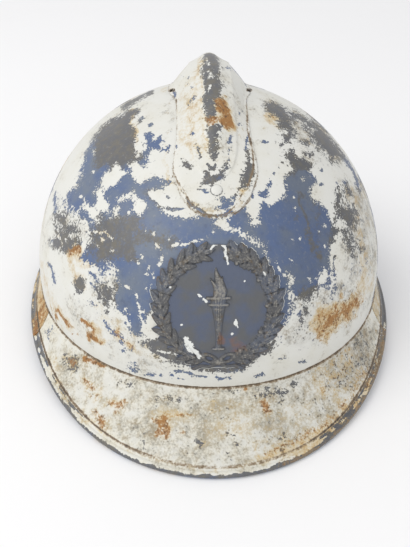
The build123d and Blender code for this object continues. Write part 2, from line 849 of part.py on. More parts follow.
def hanger_outside():
    """Distance out of the hanger's flat lower part, just inside the brim's flange."""
    rear_edge = pivot_back + hanger_width / 2
    wall = bowl_half_width * math.sqrt(1 - (rear_edge / bowl_half_length) ** 2)
    return wall - 2 * sheet - 2 * seat_gap


def make_hanger(side):
    """Steel strip brazed inside the bowl, stepped past the brim's flange to the pivot."""
    outside = hanger_outside()
    middle = outside - hanger_thickness / 2
    blade_height = hanger_step_level + hanger_thickness - pivot_level
    blade = Pos(middle, 0, pivot_level + blade_height / 2) * Box(
        hanger_thickness, hanger_width, blade_height
    )
    step_level = hanger_step_level + hanger_thickness / 2
    step = Pos(outside + hanger_thickness / 2, 0, step_level) * Box(
        3 * hanger_thickness, hanger_width, hanger_thickness
    )
    pad_height = hanger_top - hanger_step_level
    pad = Pos(bowl_half_width, pivot_back, hanger_step_level + pad_height / 2) * Box(
        bowl_half_width / 2, hanger_width, pad_height
    )
    end = Pos(middle, 0, pivot_level) * Cylinder(
        hanger_width / 2, hanger_thickness, rotation=(0, 90, 0)
    )
    hole = Pos(middle, 0, pivot_level) * Cylinder(
        ring_wire_radius + pivot_running_gap, 2 * hanger_thickness, rotation=(0, 90, 0)
    )
    wall = -sheet - hanger_gap
    lower = (Pos(0, pivot_back, 0) * (blade + step + end - hole)) & dome(wall)
    hanger = lower + (pad & dome_layer(wall - hanger_thickness, wall))
    return mirror(hanger, about=Plane.YZ) if side < 0 else hanger


def main():
    """Build every piece and write one file for each."""
    frames = comb_rivet_frames()
    pieces = {
        "shell": make_shell(),
        "front_visor": make_visor(),
        "neck_guard": make_neck_guard(),
        "crest_comb": make_comb(),
        "crest_rivets": Part() + [comb_rivet(frame) for frame in frames],
        "crest_rivet_washers": Part() + [comb_washer(frame) for frame in frames],
        "front_badge": make_badge(),
        "badge_prongs": make_prongs(),
        "felt_band": make_felt(),
        "leather_liner": make_leather(),
        "liner_lace": make_lace(),
        "liner_staples": make_staples(),
        "chinstrap": make_strap(),
        "strap_end_rivets": make_strap_rivets(),
        "strap_slider": make_slider(),
    }
    for name, angle in spacer_angles().items():
        pieces["liner_spacer_" + name] = make_spacer(angle)
    for name, side in (("left", -1), ("right", 1)):
        pieces["strap_hanger_" + name] = make_hanger(side)
        pieces["strap_ring_" + name] = make_ring(side)
    os.makedirs("parts", exist_ok=True)
    for name, piece in pieces.items():
        export_step(Pos(0, centre_shift, 0) * piece, "parts/" + name + ".step")


main()
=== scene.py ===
import math
import bpy
import numpy as np
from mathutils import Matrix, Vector, noise


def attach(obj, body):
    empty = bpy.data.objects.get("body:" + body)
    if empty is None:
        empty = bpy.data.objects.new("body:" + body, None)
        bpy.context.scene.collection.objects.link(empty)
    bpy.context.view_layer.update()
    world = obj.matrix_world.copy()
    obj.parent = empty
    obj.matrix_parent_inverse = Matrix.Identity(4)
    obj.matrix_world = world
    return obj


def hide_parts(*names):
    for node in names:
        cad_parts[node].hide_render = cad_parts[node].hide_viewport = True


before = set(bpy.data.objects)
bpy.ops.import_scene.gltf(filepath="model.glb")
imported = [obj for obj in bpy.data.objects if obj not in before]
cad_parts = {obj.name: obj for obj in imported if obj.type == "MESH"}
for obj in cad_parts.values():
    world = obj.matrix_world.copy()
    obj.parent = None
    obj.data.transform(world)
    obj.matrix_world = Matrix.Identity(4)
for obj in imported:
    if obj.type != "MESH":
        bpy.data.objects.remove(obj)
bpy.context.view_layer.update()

# Steel helmet of the 1915 pattern, in metres. The visor points to -Y, +X is on the right.
bowl = {
    "centreY": 0.00715, "halfWidth": 0.1034, "halfLength": 0.114, "rise": 0.105,
    "widestLevel": 0.028, "jointLevel": 0.0271, "sideDip": 0.0031,
    "sheet": 0.0008, "seatGap": 0.0001,
}
centreY = bowl["centreY"]
bowlMiddle = np.array((0, centreY, bowl["widestLevel"]))
bowlAxes = np.array((bowl["halfWidth"], bowl["halfLength"], bowl["rise"]))

viewpoint = {
    "place": (-0.017908, -0.346103, 0.278257), "turn": (53.085, -0.598, -2.154),
    "lens": 45.09, "sensor": 36.0, "photoWidth": 410, "photoHeight": 547,
}


# small helpers


def clearSelection():
    if bpy.context.mode != "OBJECT":
        bpy.ops.object.mode_set(mode="OBJECT")
    bpy.ops.object.select_all(action="DESELECT")


def useOnly(piece):  # makes one piece the selected and active one
    clearSelection()
    piece.select_set(True)
    bpy.context.view_layer.objects.active = piece


def settle(piece):  # place and size go into the mesh, so the object sits at the origin
    useOnly(piece)
    bpy.ops.object.transform_apply(location=True, rotation=True, scale=True)


def applyModifier(piece, kind, **settings):
    useOnly(piece)
    modifier = piece.modifiers.new(kind.title(), kind)
    for name, value in settings.items():
        setattr(modifier, name, value)
    bpy.ops.object.modifier_apply(modifier=modifier.name)


def readVectors(piece, field):
    values = np.empty(len(piece.data.vertices) * 3)
    piece.data.vertices.foreach_get(field, values)
    return values.reshape(-1, 3)


def meshPoints(piece):
    return readVectors(piece, "co")


def setPoints(piece, spots):
    piece.data.vertices.foreach_set("co", np.asarray(spots, dtype=np.float32).ravel())
    piece.data.update()


def meshNormals(piece):
    return readVectors(piece, "normal")


def startEdit(action="SELECT"):
    bpy.ops.object.mode_set(mode="EDIT")
    bpy.ops.mesh.select_all(action=action)


def endEdit():
    bpy.ops.object.mode_set(mode="OBJECT")


def selectOpenEdges():
    bpy.ops.mesh.select_mode(type="EDGE")
    bpy.ops.mesh.select_all(action="DESELECT")
    bpy.ops.mesh.select_non_manifold(
        extend=False, use_boundary=True, use_wire=False, use_multi_face=False,
        use_non_contiguous=False, use_verts=False)


def weld(threshold):  # joins doubled points of the active piece and turns its faces outwards
    startEdit()
    bpy.ops.mesh.remove_doubles(threshold=threshold)
    bpy.ops.mesh.normals_make_consistent(inside=False)
    endEdit()


def joined(pieces, name):  # the first piece takes in the others
    clearSelection()
    for piece in pieces:
        piece.select_set(True)
    bpy.context.view_layer.objects.active = pieces[0]
    bpy.ops.object.join()
    pieces[0].name = name
    return pieces[0]


def cutWith(piece, cutter):
    applyModifier(piece, "BOOLEAN", object=cutter, operation="DIFFERENCE", solver="EXACT")
    bpy.data.objects.remove(cutter)


def writeLayer(piece, name, values):
    layer = piece.data.attributes.new(name, "FLOAT", "POINT")
    layer.data.foreach_set("value", values.astype(np.float32))


def unit(rows):
    return rows / np.linalg.norm(rows, axis=1)[:, None]


def lengthAlong(line):
    return np.concatenate(([0], np.cumsum(np.linalg.norm(np.diff(line, axis=0), axis=1))))


def readAlong(line, along, steps):
    return np.column_stack([np.interp(steps, along, column) for column in line.T])


def smoothStep(values, low, high):
    share = np.clip((values - low) / (high - low), 0, 1)
    return share * share * (3 - 2 * share)


def smoothShade(piece, angle=35):
    useOnly(piece)
    bpy.ops.object.shade_smooth_by_angle(angle=math.radians(angle), keep_sharp_edges=False)


def cloudNoise(spots, size, octaves=4, shift=0.0):  # about -1 to 1, the same in each run
    place = Vector((shift, shift * 0.7, -shift * 0.4))
    return np.array([
        noise.fractal(Vector(spot) / size + place, 1.0, 2.0, octaves) for spot in spots
    ])


def loftSections(name, sections, caps=True):  # a closed tube of quads through the sections
    rows, columns = len(sections), len(sections[0])
    clearSelection()
    bpy.ops.mesh.primitive_grid_add(x_subdivisions=columns, y_subdivisions=rows - 1, size=1)
    piece = bpy.context.object
    piece.name = name
    spots = meshPoints(piece)
    column = np.rint((spots[:, 0] + 0.5) * columns).astype(int) % columns
    row = np.rint((spots[:, 1] + 0.5) * (rows - 1)).astype(int)
    setPoints(piece, np.array(sections)[row, column])
    startEdit()
    bpy.ops.mesh.remove_doubles(threshold=1e-7)
    if caps:
        selectOpenEdges()
        bpy.ops.mesh.edge_face_add()
        bpy.ops.mesh.select_all(action="SELECT")
    bpy.ops.mesh.normals_make_consistent(inside=False)
    endEdit()
    return piece


def curveThrough(places, values, wanted):  # a smooth line through known values
    places, values = np.asarray(places, float), np.asarray(values, float)
    slopes = np.gradient(values, places)
    index = np.clip(np.searchsorted(places, wanted) - 1, 0, len(places) - 2)
    span = places[index + 1] - places[index]
    t = np.clip((wanted - places[index]) / span, 0, 1)
    return ((2 * t ** 3 - 3 * t ** 2 + 1) * values[index] + (t ** 3 - 2 * t ** 2 + t) * span * slopes[index]
            + (3 * t ** 2 - 2 * t ** 3) * values[index + 1] + (t ** 3 - t ** 2) * span * slopes[index + 1])


# camera, floor and light


def addCamera():
    turn = [math.radians(angle) for angle in viewpoint["turn"]]
    bpy.ops.object.camera_add(location=viewpoint["place"], rotation=turn)
    camera = bpy.context.object
    camera.data.lens = viewpoint["lens"]
    camera.data.sensor_width = viewpoint["sensor"]
    camera.data.clip_start = 0.01
    bpy.context.scene.camera = camera
    bpy.context.view_layer.update()
    return np.array(camera.matrix_world)


cameraMatrix = addCamera()


def onPhoto(spots):  # the pixel of the photograph that shows each point
    local = (spots - cameraMatrix[:3, 3]) @ cameraMatrix[:3, :3]
    longSide = max(viewpoint["photoWidth"], viewpoint["photoHeight"])
    focal = viewpoint["lens"] / viewpoint["sensor"] * longSide
    across = viewpoint["photoWidth"] / 2 - focal * local[:, 0] / local[:, 2]
    down = viewpoint["photoHeight"] / 2 + focal * local[:, 1] / local[:, 2]
    return np.column_stack((across, down))


def facing(spots, normals):  # 1 where a surface faces the camera, -1 where it faces away
    return (unit(cameraMatrix[:3, 3] - spots) * normals).sum(axis=1)


# material building blocks


def newMaterial(name):
    material = bpy.data.materials.new(name)
    material.use_nodes = True
    return material, material.node_tree


def feed(tree, socket, value):
    if isinstance(value, bpy.types.NodeSocket):
        tree.links.new(value, socket)
    elif socket.type == "RGBA":
        socket.default_value = (*value, 1)
    else:
        socket.default_value = value


def compute(tree, operation, first, second=0.0, clamp=False):
    made = tree.nodes.new("ShaderNodeMath")
    made.operation = operation
    made.use_clamp = clamp
    feed(tree, made.inputs[0], first)
    feed(tree, made.inputs[1], second)
    return made.outputs[0]


def plus(tree, *values):
    total = values[0]
    for value in values[1:]:
        total = compute(tree, "ADD", total, value)
    return total


def times(tree, first, second):
    return compute(tree, "MULTIPLY", first, second)


def mixed(tree, *pairs):  # a sum of values, each with its share
    return plus(tree, *[times(tree, value, share) for value, share in pairs])


def centred(tree, value, amount):  # swings around nought
    return times(tree, compute(tree, "SUBTRACT", value, 0.5), amount)


def grain(tree, size, detail=4.0, rough=0.55, stretch=(1, 1, 1), shift=0.0):
    coordinates = tree.nodes.new("ShaderNodeTexCoord")
    mapping = tree.nodes.new("ShaderNodeMapping")
    mapping.inputs["Scale"].default_value = stretch
    mapping.inputs["Location"].default_value = (shift, shift, shift)
    pattern = tree.nodes.new("ShaderNodeTexNoise")
    pattern.inputs["Scale"].default_value = 1 / size
    pattern.inputs["Detail"].default_value = detail
    pattern.inputs["Roughness"].default_value = rough
    tree.links.new(coordinates.outputs["Object"], mapping.inputs["Vector"])
    tree.links.new(mapping.outputs["Vector"], pattern.inputs["Vector"])
    return pattern.outputs["Fac"]


def ramp(tree, value, low, high, start=0.0, end=1.0):
    made = tree.nodes.new("ShaderNodeMapRange")
    made.interpolation_type = "SMOOTHSTEP"
    for name, given in (("Value", value), ("From Min", low), ("From Max", high),
                        ("To Min", start), ("To Max", end)):
        feed(tree, made.inputs[name], given)
    return made.outputs["Result"]


def blend(tree, share, first, second, way="MIX"):
    made = tree.nodes.new("ShaderNodeMix")
    made.data_type = "RGBA"
    made.blend_type = way
    for place, given in ((0, share), (6, first), (7, second)):
        feed(tree, made.inputs[place], given)
    return made.outputs[2]


def coat(tree, colour, tone, value, low, high, most=1.0):  # a tone over a colour where the value is high
    return blend(tree, ramp(tree, value, low, high, 0, most), colour, tone)


def painted(tree, name):  # a value that the mesh carries at its points
    made = tree.nodes.new("ShaderNodeAttribute")
    made.attribute_name = name
    return made.outputs["Fac"]


def bump(tree, height, distance, strength=1.0, under=None):
    made = tree.nodes.new("ShaderNodeBump")
    made.inputs["Strength"].default_value = strength
    made.inputs["Distance"].default_value = distance
    feed(tree, made.inputs["Height"], height)
    if under is not None:
        feed(tree, made.inputs["Normal"], under)
    return made.outputs["Normal"]


def finishMaterial(tree, colour, roughness, normal, metallic=0.0, specular=0.5):
    given = {"Base Color": colour, "Roughness": roughness, "Metallic": metallic,
             "Specular IOR Level": specular, "Normal": normal}
    for name, value in given.items():
        if value is not None:
            feed(tree, tree.nodes["Principled BSDF"].inputs[name], value)


def setMaterial(piece, material):
    piece.data.materials.clear()
    piece.data.materials.append(material)


studio = {
    "floorSize": 40.0, "floorColour": (0.88, 0.88, 0.88), "worldColour": (0.985, 0.985, 1.0),
    "worldLight": 0.86, "worldSeen": 0.9,
    "keyPlace": (-0.95, -0.45, 1.25), "keySize": 1.1, "keyPower": 9.7,
    "fillPlace": (0.2, -1.5, 0.9), "fillSize": 1.2, "fillPower": 2.0,
}


def addFloor():
    clearSelection()
    bpy.ops.mesh.primitive_plane_add(size=studio["floorSize"])
    floor = bpy.context.object
    floor.name = "tableTop"
    material, tree = newMaterial("palePaper")
    shade = [0.97 * part for part in studio["floorColour"]]
    colour = coat(tree, studio["floorColour"], shade, grain(tree, 0.5, 2.0), 0.3, 0.7, 0.25)
    finishMaterial(tree, colour, 0.9, None, specular=0.1)
    setMaterial(floor, material)


def addArea(name, place, size, power, colour=(1, 1, 1)):
    aim = Vector((0, centreY, 0.06)) - Vector(place)
    bpy.ops.object.light_add(type="AREA", location=place, rotation=aim.to_track_quat("-Z", "Y").to_euler())
    lamp = bpy.context.object
    lamp.name = name
    lamp.data.size = size
    lamp.data.energy = power
    lamp.data.color = colour


def addLight():
    addArea("keyLight", studio["keyPlace"], studio["keySize"], studio["keyPower"], (1, 0.99, 0.97))
    addArea("fillLight", studio["fillPlace"], studio["fillSize"], studio["fillPower"])
    world = bpy.data.worlds.new("softRoom")
    bpy.context.scene.world = world
    world.use_nodes = True
    tree = world.node_tree
    background = tree.nodes["Background"]
    rays = tree.nodes.new("ShaderNodeLightPath").outputs["Is Camera Ray"]
    feed(tree, background.inputs["Color"], studio["worldColour"])
    feed(tree, background.inputs["Strength"],
         ramp(tree, rays, 0, 1, studio["worldLight"], studio["worldSeen"]))


addFloor()
addLight()
bpy.context.scene.view_settings.view_transform = "Standard"
print("camera, table and light are in place")

# wear of the paint, traced from the photograph
# Places are pixels of the photograph, x and y in turn. A patch is a closed outline, a streak is a
# line with a width, a dot has a radius. The white coat is lost in some shapes and kept in others,
# and later ones lie over earlier ones. A soft mark has a strength and a softness before its shape.


def patch(*numbers):
    return {"corners": np.array(numbers, dtype=float).reshape(-1, 2)}


def streak(width, *numbers):
    return {**patch(*numbers), "width": width}


def dot(x, y, radius):
    return streak(2 * radius, x, y, x + 0.01, y)


def dots(*numbers):
    return [dot(*numbers[i:i + 3]) for i in range(0, len(numbers), 3)]


def lost(*shapes):
    return 1, shapes


def kept(*shapes):
    return -1, shapes


tracing = {"reach": 14.0, "range": 16.0, "tiny": 1e-9, "smallWidth": 4.1, "crisp": 2.2}


def edgeDistance(spots, shape):  # pixels inside (plus) or outside (minus) a patch or streak
    corners = shape["corners"]
    closed = "width" not in shape
    half = 0.0 if closed else shape["width"] / 2
    reach = tracing["reach"] + half
    result = np.full(len(spots), -tracing["reach"])
    near = ((spots > corners.min(0) - reach) & (spots < corners.max(0) + reach)).all(axis=1)
    local = spots[near]
    if not len(local):
        return result
    best = np.full(len(local), np.inf)
    inside = np.zeros(len(local), dtype=bool)
    ends = np.roll(corners, -1, axis=0) if closed else corners[1:]
    for start, end in zip(corners, ends):
        side = end - start
        length = max(side @ side, tracing["tiny"])
        share = np.clip(((local - start) @ side) / length, 0, 1)
        away = local - start - share[:, None] * side
        best = np.minimum(best, (away ** 2).sum(axis=1))
        if closed and side[1] != 0:
            crossing = (start[1] > local[:, 1]) != (end[1] > local[:, 1])
            level = start[0] + (local[:, 1] - start[1]) * side[0] / side[1]
            inside ^= crossing & (local[:, 0] < level)
    gap = np.sqrt(best)
    result[near] = np.where(inside, gap, -gap) if closed else half - gap
    return np.maximum(result, -tracing["reach"])


def bareField(spots, layers):  # pixels inside bare paint, minus under the white coat
    field = np.full(len(spots), -tracing["reach"])
    for side, shapes in layers:
        for shape in shapes:
            distance = edgeDistance(spots, shape)
            if shape.get("width", tracing["smallWidth"]) < tracing["smallWidth"]:  # small chips are crisp
                distance = np.maximum(distance * tracing["crisp"], -tracing["reach"])
            field = np.maximum(field, distance) if side > 0 else np.minimum(field, -distance)
    return field


def softField(spots, marks):  # strongest of some soft marks: strength, softness, shape
    field = np.zeros(len(spots))
    for strength, softness, shape in marks:
        field = np.maximum(field, strength * smoothStep(edgeDistance(spots, shape), -softness, softness))
    return field


shellWear = [
    # left of the comb, from the horizon down
    lost(streak(7, 124, 107, 131, 101, 140, 96, 150, 91), patch(127, 111, 133, 109, 140, 110, 141, 112,
         137, 115, 131, 120, 131, 124, 133, 128, 135, 130, 135, 135, 136, 140, 135, 146, 137, 150, 137, 155,
         150, 160, 165, 175, 182, 186, 196, 200, 214, 218, 226, 216, 231, 230, 262, 242, 268, 262, 160, 262,
         147, 262, 110, 262, 100, 250, 92, 238, 89, 231, 88, 218, 81, 220, 79, 218, 78, 213, 79, 209,
         70, 210, 66, 208, 67, 204, 68, 200, 66, 197, 68, 193, 73, 188, 76, 186, 77, 182, 79, 178, 82, 174,
         81, 171, 82, 167, 84, 162, 84, 157, 83, 153, 85, 151, 88, 147, 90, 143, 92, 139, 95, 135, 98, 130,
         100, 126, 105, 124, 109, 122, 110, 119, 115, 117, 121, 115)),
    kept(patch(113, 165, 116, 163, 119, 166, 124, 171, 127, 172, 122, 176, 120, 180, 117, 184, 110, 187,
         104, 188, 103, 196, 107, 201, 109, 205, 109, 210, 107, 213, 101, 213, 99, 217, 100, 221, 98, 224,
         94, 223, 94, 219, 90, 217, 88, 210, 84, 210, 83, 207, 84, 198, 87, 203, 91, 207, 96, 207, 98, 204,
         100, 200, 97, 197, 95, 192, 99, 186, 102, 179, 105, 173, 110, 169), patch(129, 165, 135, 161,
         141, 165, 146, 166, 147, 162, 152, 157, 160, 153, 168, 150, 185, 160, 190, 178, 172, 178, 162, 180,
         155, 176, 150, 178, 141, 182, 136, 181, 131, 175, 133, 171), patch(148, 193, 153, 190, 160, 189,
         164, 185, 172, 182, 200, 186, 205, 205, 206, 215, 201, 217, 187, 218, 175, 217, 167, 215, 165, 212,
         157, 206, 157, 202, 151, 199)),
    lost(streak(3, 168, 209, 175, 210, 183, 209), streak(2, 165, 196, 168, 198)),
    kept(patch(133, 190, 137, 198, 141, 199, 144, 203, 146, 206, 142, 213, 139, 216, 134, 212, 133, 203,
         130, 195, 124, 201, 119, 203, 118, 200, 121, 197), patch(113, 211, 118, 207, 120, 206, 118, 216,
         115, 218), dot(130, 213, 1.6), streak(2, 93, 155, 94, 151), *dots(92.5, 172, 1.4, 81.5, 196, 1.5,
         109.5, 218, 1.2, 102, 218, 1.2, 72.5, 206, 1.2)),
    # white field right of the left patch, with its chips
    lost(streak(2.5, 139, 122, 144, 118), *dots(151, 124, 2.0, 146.5, 134, 1.7), streak(3, 151, 132,
         147, 140), patch(146, 141.5, 151.5, 132.5, 154, 135, 152.5, 141.5, 160, 136.5, 162, 139, 162, 147,
         152.5, 149.5, 147.5, 157, 141, 158, 138.5, 154.5, 146, 148), patch(142, 161, 146, 159, 148, 162,
         145, 165)),
    kept(patch(136, 141, 145, 141, 144, 148, 138, 153, 136, 150)),
    lost(streak(1.5, 170, 145, 167, 150), streak(2.5, 160, 152, 163, 149, 168, 151)),
    # left cheek
    lost(streak(2, 55, 192, 54.5, 214, 56, 232), patch(57, 214, 62, 215, 66, 214, 68, 216, 66, 226, 71, 224,
         75, 228, 78, 240, 80, 245, 75, 250, 66, 254, 60, 249, 53, 247, 49, 241, 55, 236, 59, 231,
         58, 226)),
    kept(patch(69, 211, 78, 209, 78, 217, 77, 221, 84, 222, 88, 228, 87, 232, 90, 239, 90, 243, 85, 248,
         79, 237, 76, 228, 73, 225, 69, 220)),
    lost(patch(90, 233, 100, 226, 118, 230, 128, 250, 124, 264, 112, 264, 108, 272, 100, 268, 91, 263,
         82, 258, 88, 248, 92, 238)),
    kept(streak(2, 93, 232, 99, 234, 105, 231, 112, 239), *dots(103, 240, 1.6, 97, 246, 1.3,
         112, 251, 1.4), patch(104, 260, 110, 262, 117, 266, 118, 275, 116, 281, 110, 279, 106, 270)),
    lost(patch(101, 286, 104, 283, 108, 287, 112, 290, 113, 295, 110, 300, 104, 300, 99, 291), streak(2.2,
         90, 272, 94, 275, 97, 281), patch(76, 278, 81, 278, 86, 282, 85, 286, 81, 294, 78, 294, 74, 286),
         streak(2.5, 49, 264, 53, 273, 55, 284), *dots(99, 298, 1.8, 104, 305, 1.6, 108, 311, 1.5)),
    # blue strip left of the badge
    lost(patch(110, 262, 118, 261, 137, 258, 150, 250, 180, 238, 180, 310, 150, 312, 142, 328, 143, 335,
         138, 337, 133, 334, 130, 330, 129, 322, 127, 315, 118, 309, 112, 302, 116, 292, 117, 275,
         117, 268)),
    kept(streak(2.2, 137, 259, 137.5, 264), streak(1.6, 142, 258, 143, 254), streak(1.8, 148, 266,
         148, 270), dot(147, 275, 1.7), streak(2, 153, 274, 153, 278), streak(1.8, 150, 285, 150, 289),
         dot(146, 289, 1.3), streak(2.6, 136, 294, 137, 302, 140, 308, 141, 313), *dots(125.5, 309, 1.4,
         130, 314.5, 1.2, 144.5, 311.5, 1.3, 152.5, 316, 1.3), streak(2, 126, 286, 130, 288), streak(3.5,
         160, 264, 162, 258), streak(3, 159, 248, 157, 244), streak(2.6, 172, 246, 179, 243.5, 185, 244.5),
         streak(2.4, 185, 244, 193, 241, 201, 239), *dots(168, 238, 1.2, 146, 231.5, 1.2, 154, 234, 1.4,
         206, 236, 1.2), streak(1.6, 214, 229, 212, 232)),
    # white tongues below the comb and over the badge
    kept(patch(215, 220, 222, 218, 226, 216, 230, 208, 233, 208, 232, 215, 226, 221, 229, 225, 235, 229,
         233, 232, 225, 230, 217, 226, 215, 224), patch(239, 232, 248, 235, 255, 235, 259, 240, 259, 247,
         251, 241, 241, 237)),
    # right of the comb
    lost(patch(283, 152, 288, 153, 291, 149, 294, 152, 297, 157, 305, 157, 306, 153, 308, 160, 312, 163,
         313, 167, 309, 170, 311, 176, 315, 179, 317, 183, 313, 186, 310, 191, 313, 198, 318, 203, 323, 207,
         327, 212, 330, 219, 333, 226, 338, 230, 340, 234, 336, 236, 336, 242, 331, 245, 329, 249, 330, 258,
         331, 270, 331, 280, 334, 288, 329, 287, 326, 283, 324, 280, 321, 283, 318, 287, 316, 291, 313, 295,
         311, 300, 308, 298, 304, 298, 301, 301, 296, 306, 280, 330, 240, 330, 240, 262, 270, 262, 262, 243,
         240, 231, 228, 224, 234, 211, 239, 206, 245, 208, 251, 220, 252, 225, 256, 226, 259, 221, 260, 207,
         263, 201, 268, 206, 278, 201, 283, 197, 285, 191, 282, 182, 284, 176, 289, 171, 293, 169,
         287, 158)),
    kept(patch(237, 200, 245, 206, 250, 214, 251, 224, 255, 226, 257, 223, 259, 213, 259, 207, 263, 201,
         258, 196, 245, 196)),
    lost(patch(259, 195, 266, 188, 268, 183, 271, 180, 272, 186, 268, 193, 264, 200), streak(3, 253, 197,
         253, 192)),
    kept(patch(285, 190, 281, 197, 274, 202, 268, 205, 266, 202, 267, 198, 273, 191, 275, 188),
         *dots(294, 197.5, 1.2, 295, 209, 1.3, 302.5, 179, 1.1, 286, 186, 1.2, 293, 239.5, 1.2,
         301, 238, 1.2, 324.5, 226, 1.5, 318, 232, 1.5, 324.5, 246, 1.4), streak(1.6, 290, 260, 293, 260.5,
         294, 263), dot(278, 262, 1.3), streak(1.8, 280, 267, 280.5, 271), dot(284, 275, 1.4), streak(2,
         309, 277, 311, 281), dot(317, 278.5, 1.3), patch(287, 272, 292, 279, 292, 285, 290, 290,
         288, 277), patch(287, 294, 290, 290, 294, 296, 299, 297, 303, 297, 310, 299, 309, 312, 308, 325,
         299, 334, 287, 337, 278, 338, 279, 331, 288, 326, 292, 312, 290, 302)),
    lost(streak(2.4, 303, 306, 306, 312), *dots(298, 312, 1.4, 301, 320, 1.5)),
    kept(patch(323, 268, 328, 271, 328, 281, 321, 284, 318, 280)),
    # upper right
    lost(patch(265, 105, 272, 101, 283, 107, 288, 109, 284, 110, 289, 117, 293, 126, 293, 130, 291, 141,
         292, 145, 284, 141, 280, 133, 286, 134, 288, 131, 279, 129, 278, 125, 280, 121, 274, 115,
         266, 112), patch(288, 110, 303, 116, 318, 125, 331, 137, 340, 149, 341, 154, 335, 158, 333, 162,
         328, 154, 320, 146, 313, 139, 311, 134, 314, 131, 305, 126, 306, 123, 298, 120, 292, 117),
         streak(3, 338, 151, 347, 162, 356, 178, 360, 190), streak(2.2, 262, 141, 267, 141.5),
         *dots(276, 141, 1.7, 281, 145, 1.9), streak(1.7, 301, 141, 303, 142), streak(2.2, 306, 142,
         309, 143), *dots(305, 153, 1.7, 311, 154, 1.6, 284, 161, 1.4, 280, 165, 1.3, 274.5, 173, 1.3,
         321, 171, 1.6, 324, 152, 1.6), streak(1.8, 335, 182, 339, 186, 336, 189), streak(2, 344, 182,
         350, 195), dot(321, 185, 2.0)),
    # right side, low
    lost(patch(336, 190, 343, 193, 341, 199, 342, 207, 350, 207, 355, 218, 355, 223, 351, 222, 352, 227,
         345, 226, 341, 217, 336, 225, 339, 229, 333, 222, 338, 215, 335, 203), patch(341, 228, 346, 229,
         351, 241, 353, 248, 352, 254, 347, 248, 343, 238), streak(2, 334, 256, 335, 270, 333, 284),
         *dots(361, 248, 1.5, 357, 246, 1.2)),
    # below the badge
    lost(patch(142, 343, 153, 338, 168, 337, 200, 345, 250, 350, 280, 338, 270, 352, 252, 362, 245, 371,
         228, 374, 205, 371, 185, 366, 165, 361, 152, 352)),
    kept(streak(2.4, 157, 350, 164, 353, 172, 354, 178, 355), streak(2, 151, 353, 160, 361, 167, 363),
         patch(140, 317, 146, 324, 157, 328, 167, 336, 156, 336, 148, 338, 142, 330)),
    lost(dot(113, 332, 1.7), streak(3, 92, 283, 98, 290, 103, 300, 108, 306), streak(2.4, 104, 288,
         110, 296, 113, 304), streak(2, 90, 300, 95, 306), streak(2.6, 176, 371, 184, 373, 192, 374),
         streak(2.2, 196, 376, 206, 377), streak(2, 186, 366, 196, 369, 206, 371)),
    kept(*dots(64, 231, 2.2, 67, 240, 1.8, 73, 235, 2.2, 60, 225, 1.9, 75, 245, 1.7), streak(1.6, 58, 236,
         62, 246)),
    lost(streak(2.4, 121, 342, 125, 345), *dots(132, 348, 1.9, 124, 352, 1.7), streak(1.8, 104, 322,
         112, 331, 123, 338), patch(128, 367, 133, 365, 137, 368, 141, 370, 133, 371), streak(2, 146, 375,
         150, 374, 154, 376), dot(160, 375.5, 1.3), streak(2, 171, 374, 174, 377), *dots(178, 378, 1.4,
         183, 379, 1.3), streak(2.2, 216, 377, 222, 379, 230, 378), streak(1.6, 255, 377, 263, 374),
         streak(2.2, 299, 363, 303, 362), streak(1.8, 277, 359, 283, 357)),
]

# dark undercoat against the blue coat, 1 is dark
shellDark = [
    (1.0, 9, patch(97, 120, 126, 108, 142, 110, 140, 160, 120, 170, 97, 168, 92, 140)),
    (1.0, 6, streak(10, 126, 106, 150, 92)),
    (0.75, 7, patch(97, 215, 140, 215, 138, 262, 96, 264, 86, 235)),
    (0.9, 5, patch(48, 210, 80, 212, 80, 256, 48, 256)),
    (0.7, 9, streak(16, 140, 236, 170, 244)),
    (1.0, 5, patch(282, 148, 312, 150, 320, 160, 316, 172, 300, 173, 282, 172)),
    (1.0, 5, patch(258, 98, 300, 106, 345, 145, 345, 170, 320, 160, 280, 150)),
    (1.0, 5, patch(330, 186, 362, 186, 364, 260, 332, 256)),
    (0.75, 3, streak(5, 302, 193, 305, 215, 309, 230, 313, 245, 317, 262)),
    (0.5, 4, dot(297, 217, 5)),
    (0.5, 5, streak(6, 314, 190, 318, 240)),
    (1.0, 5, patch(138, 336, 190, 336, 240, 344, 280, 336, 270, 362, 225, 376, 150, 362)),
    (0.85, 8, patch(300, 285, 320, 282, 322, 330, 292, 344)),
    (0.7, 6, patch(150, 296, 180, 296, 182, 345, 142, 345)),
    (1.0, 3, patch(72, 276, 88, 276, 88, 296, 72, 296)),
    (1.0, 3, patch(97, 281, 116, 281, 116, 314, 97, 314)),
    (0.5, 5, patch(140, 194, 150, 186, 172, 186, 182, 212, 160, 216)),
]

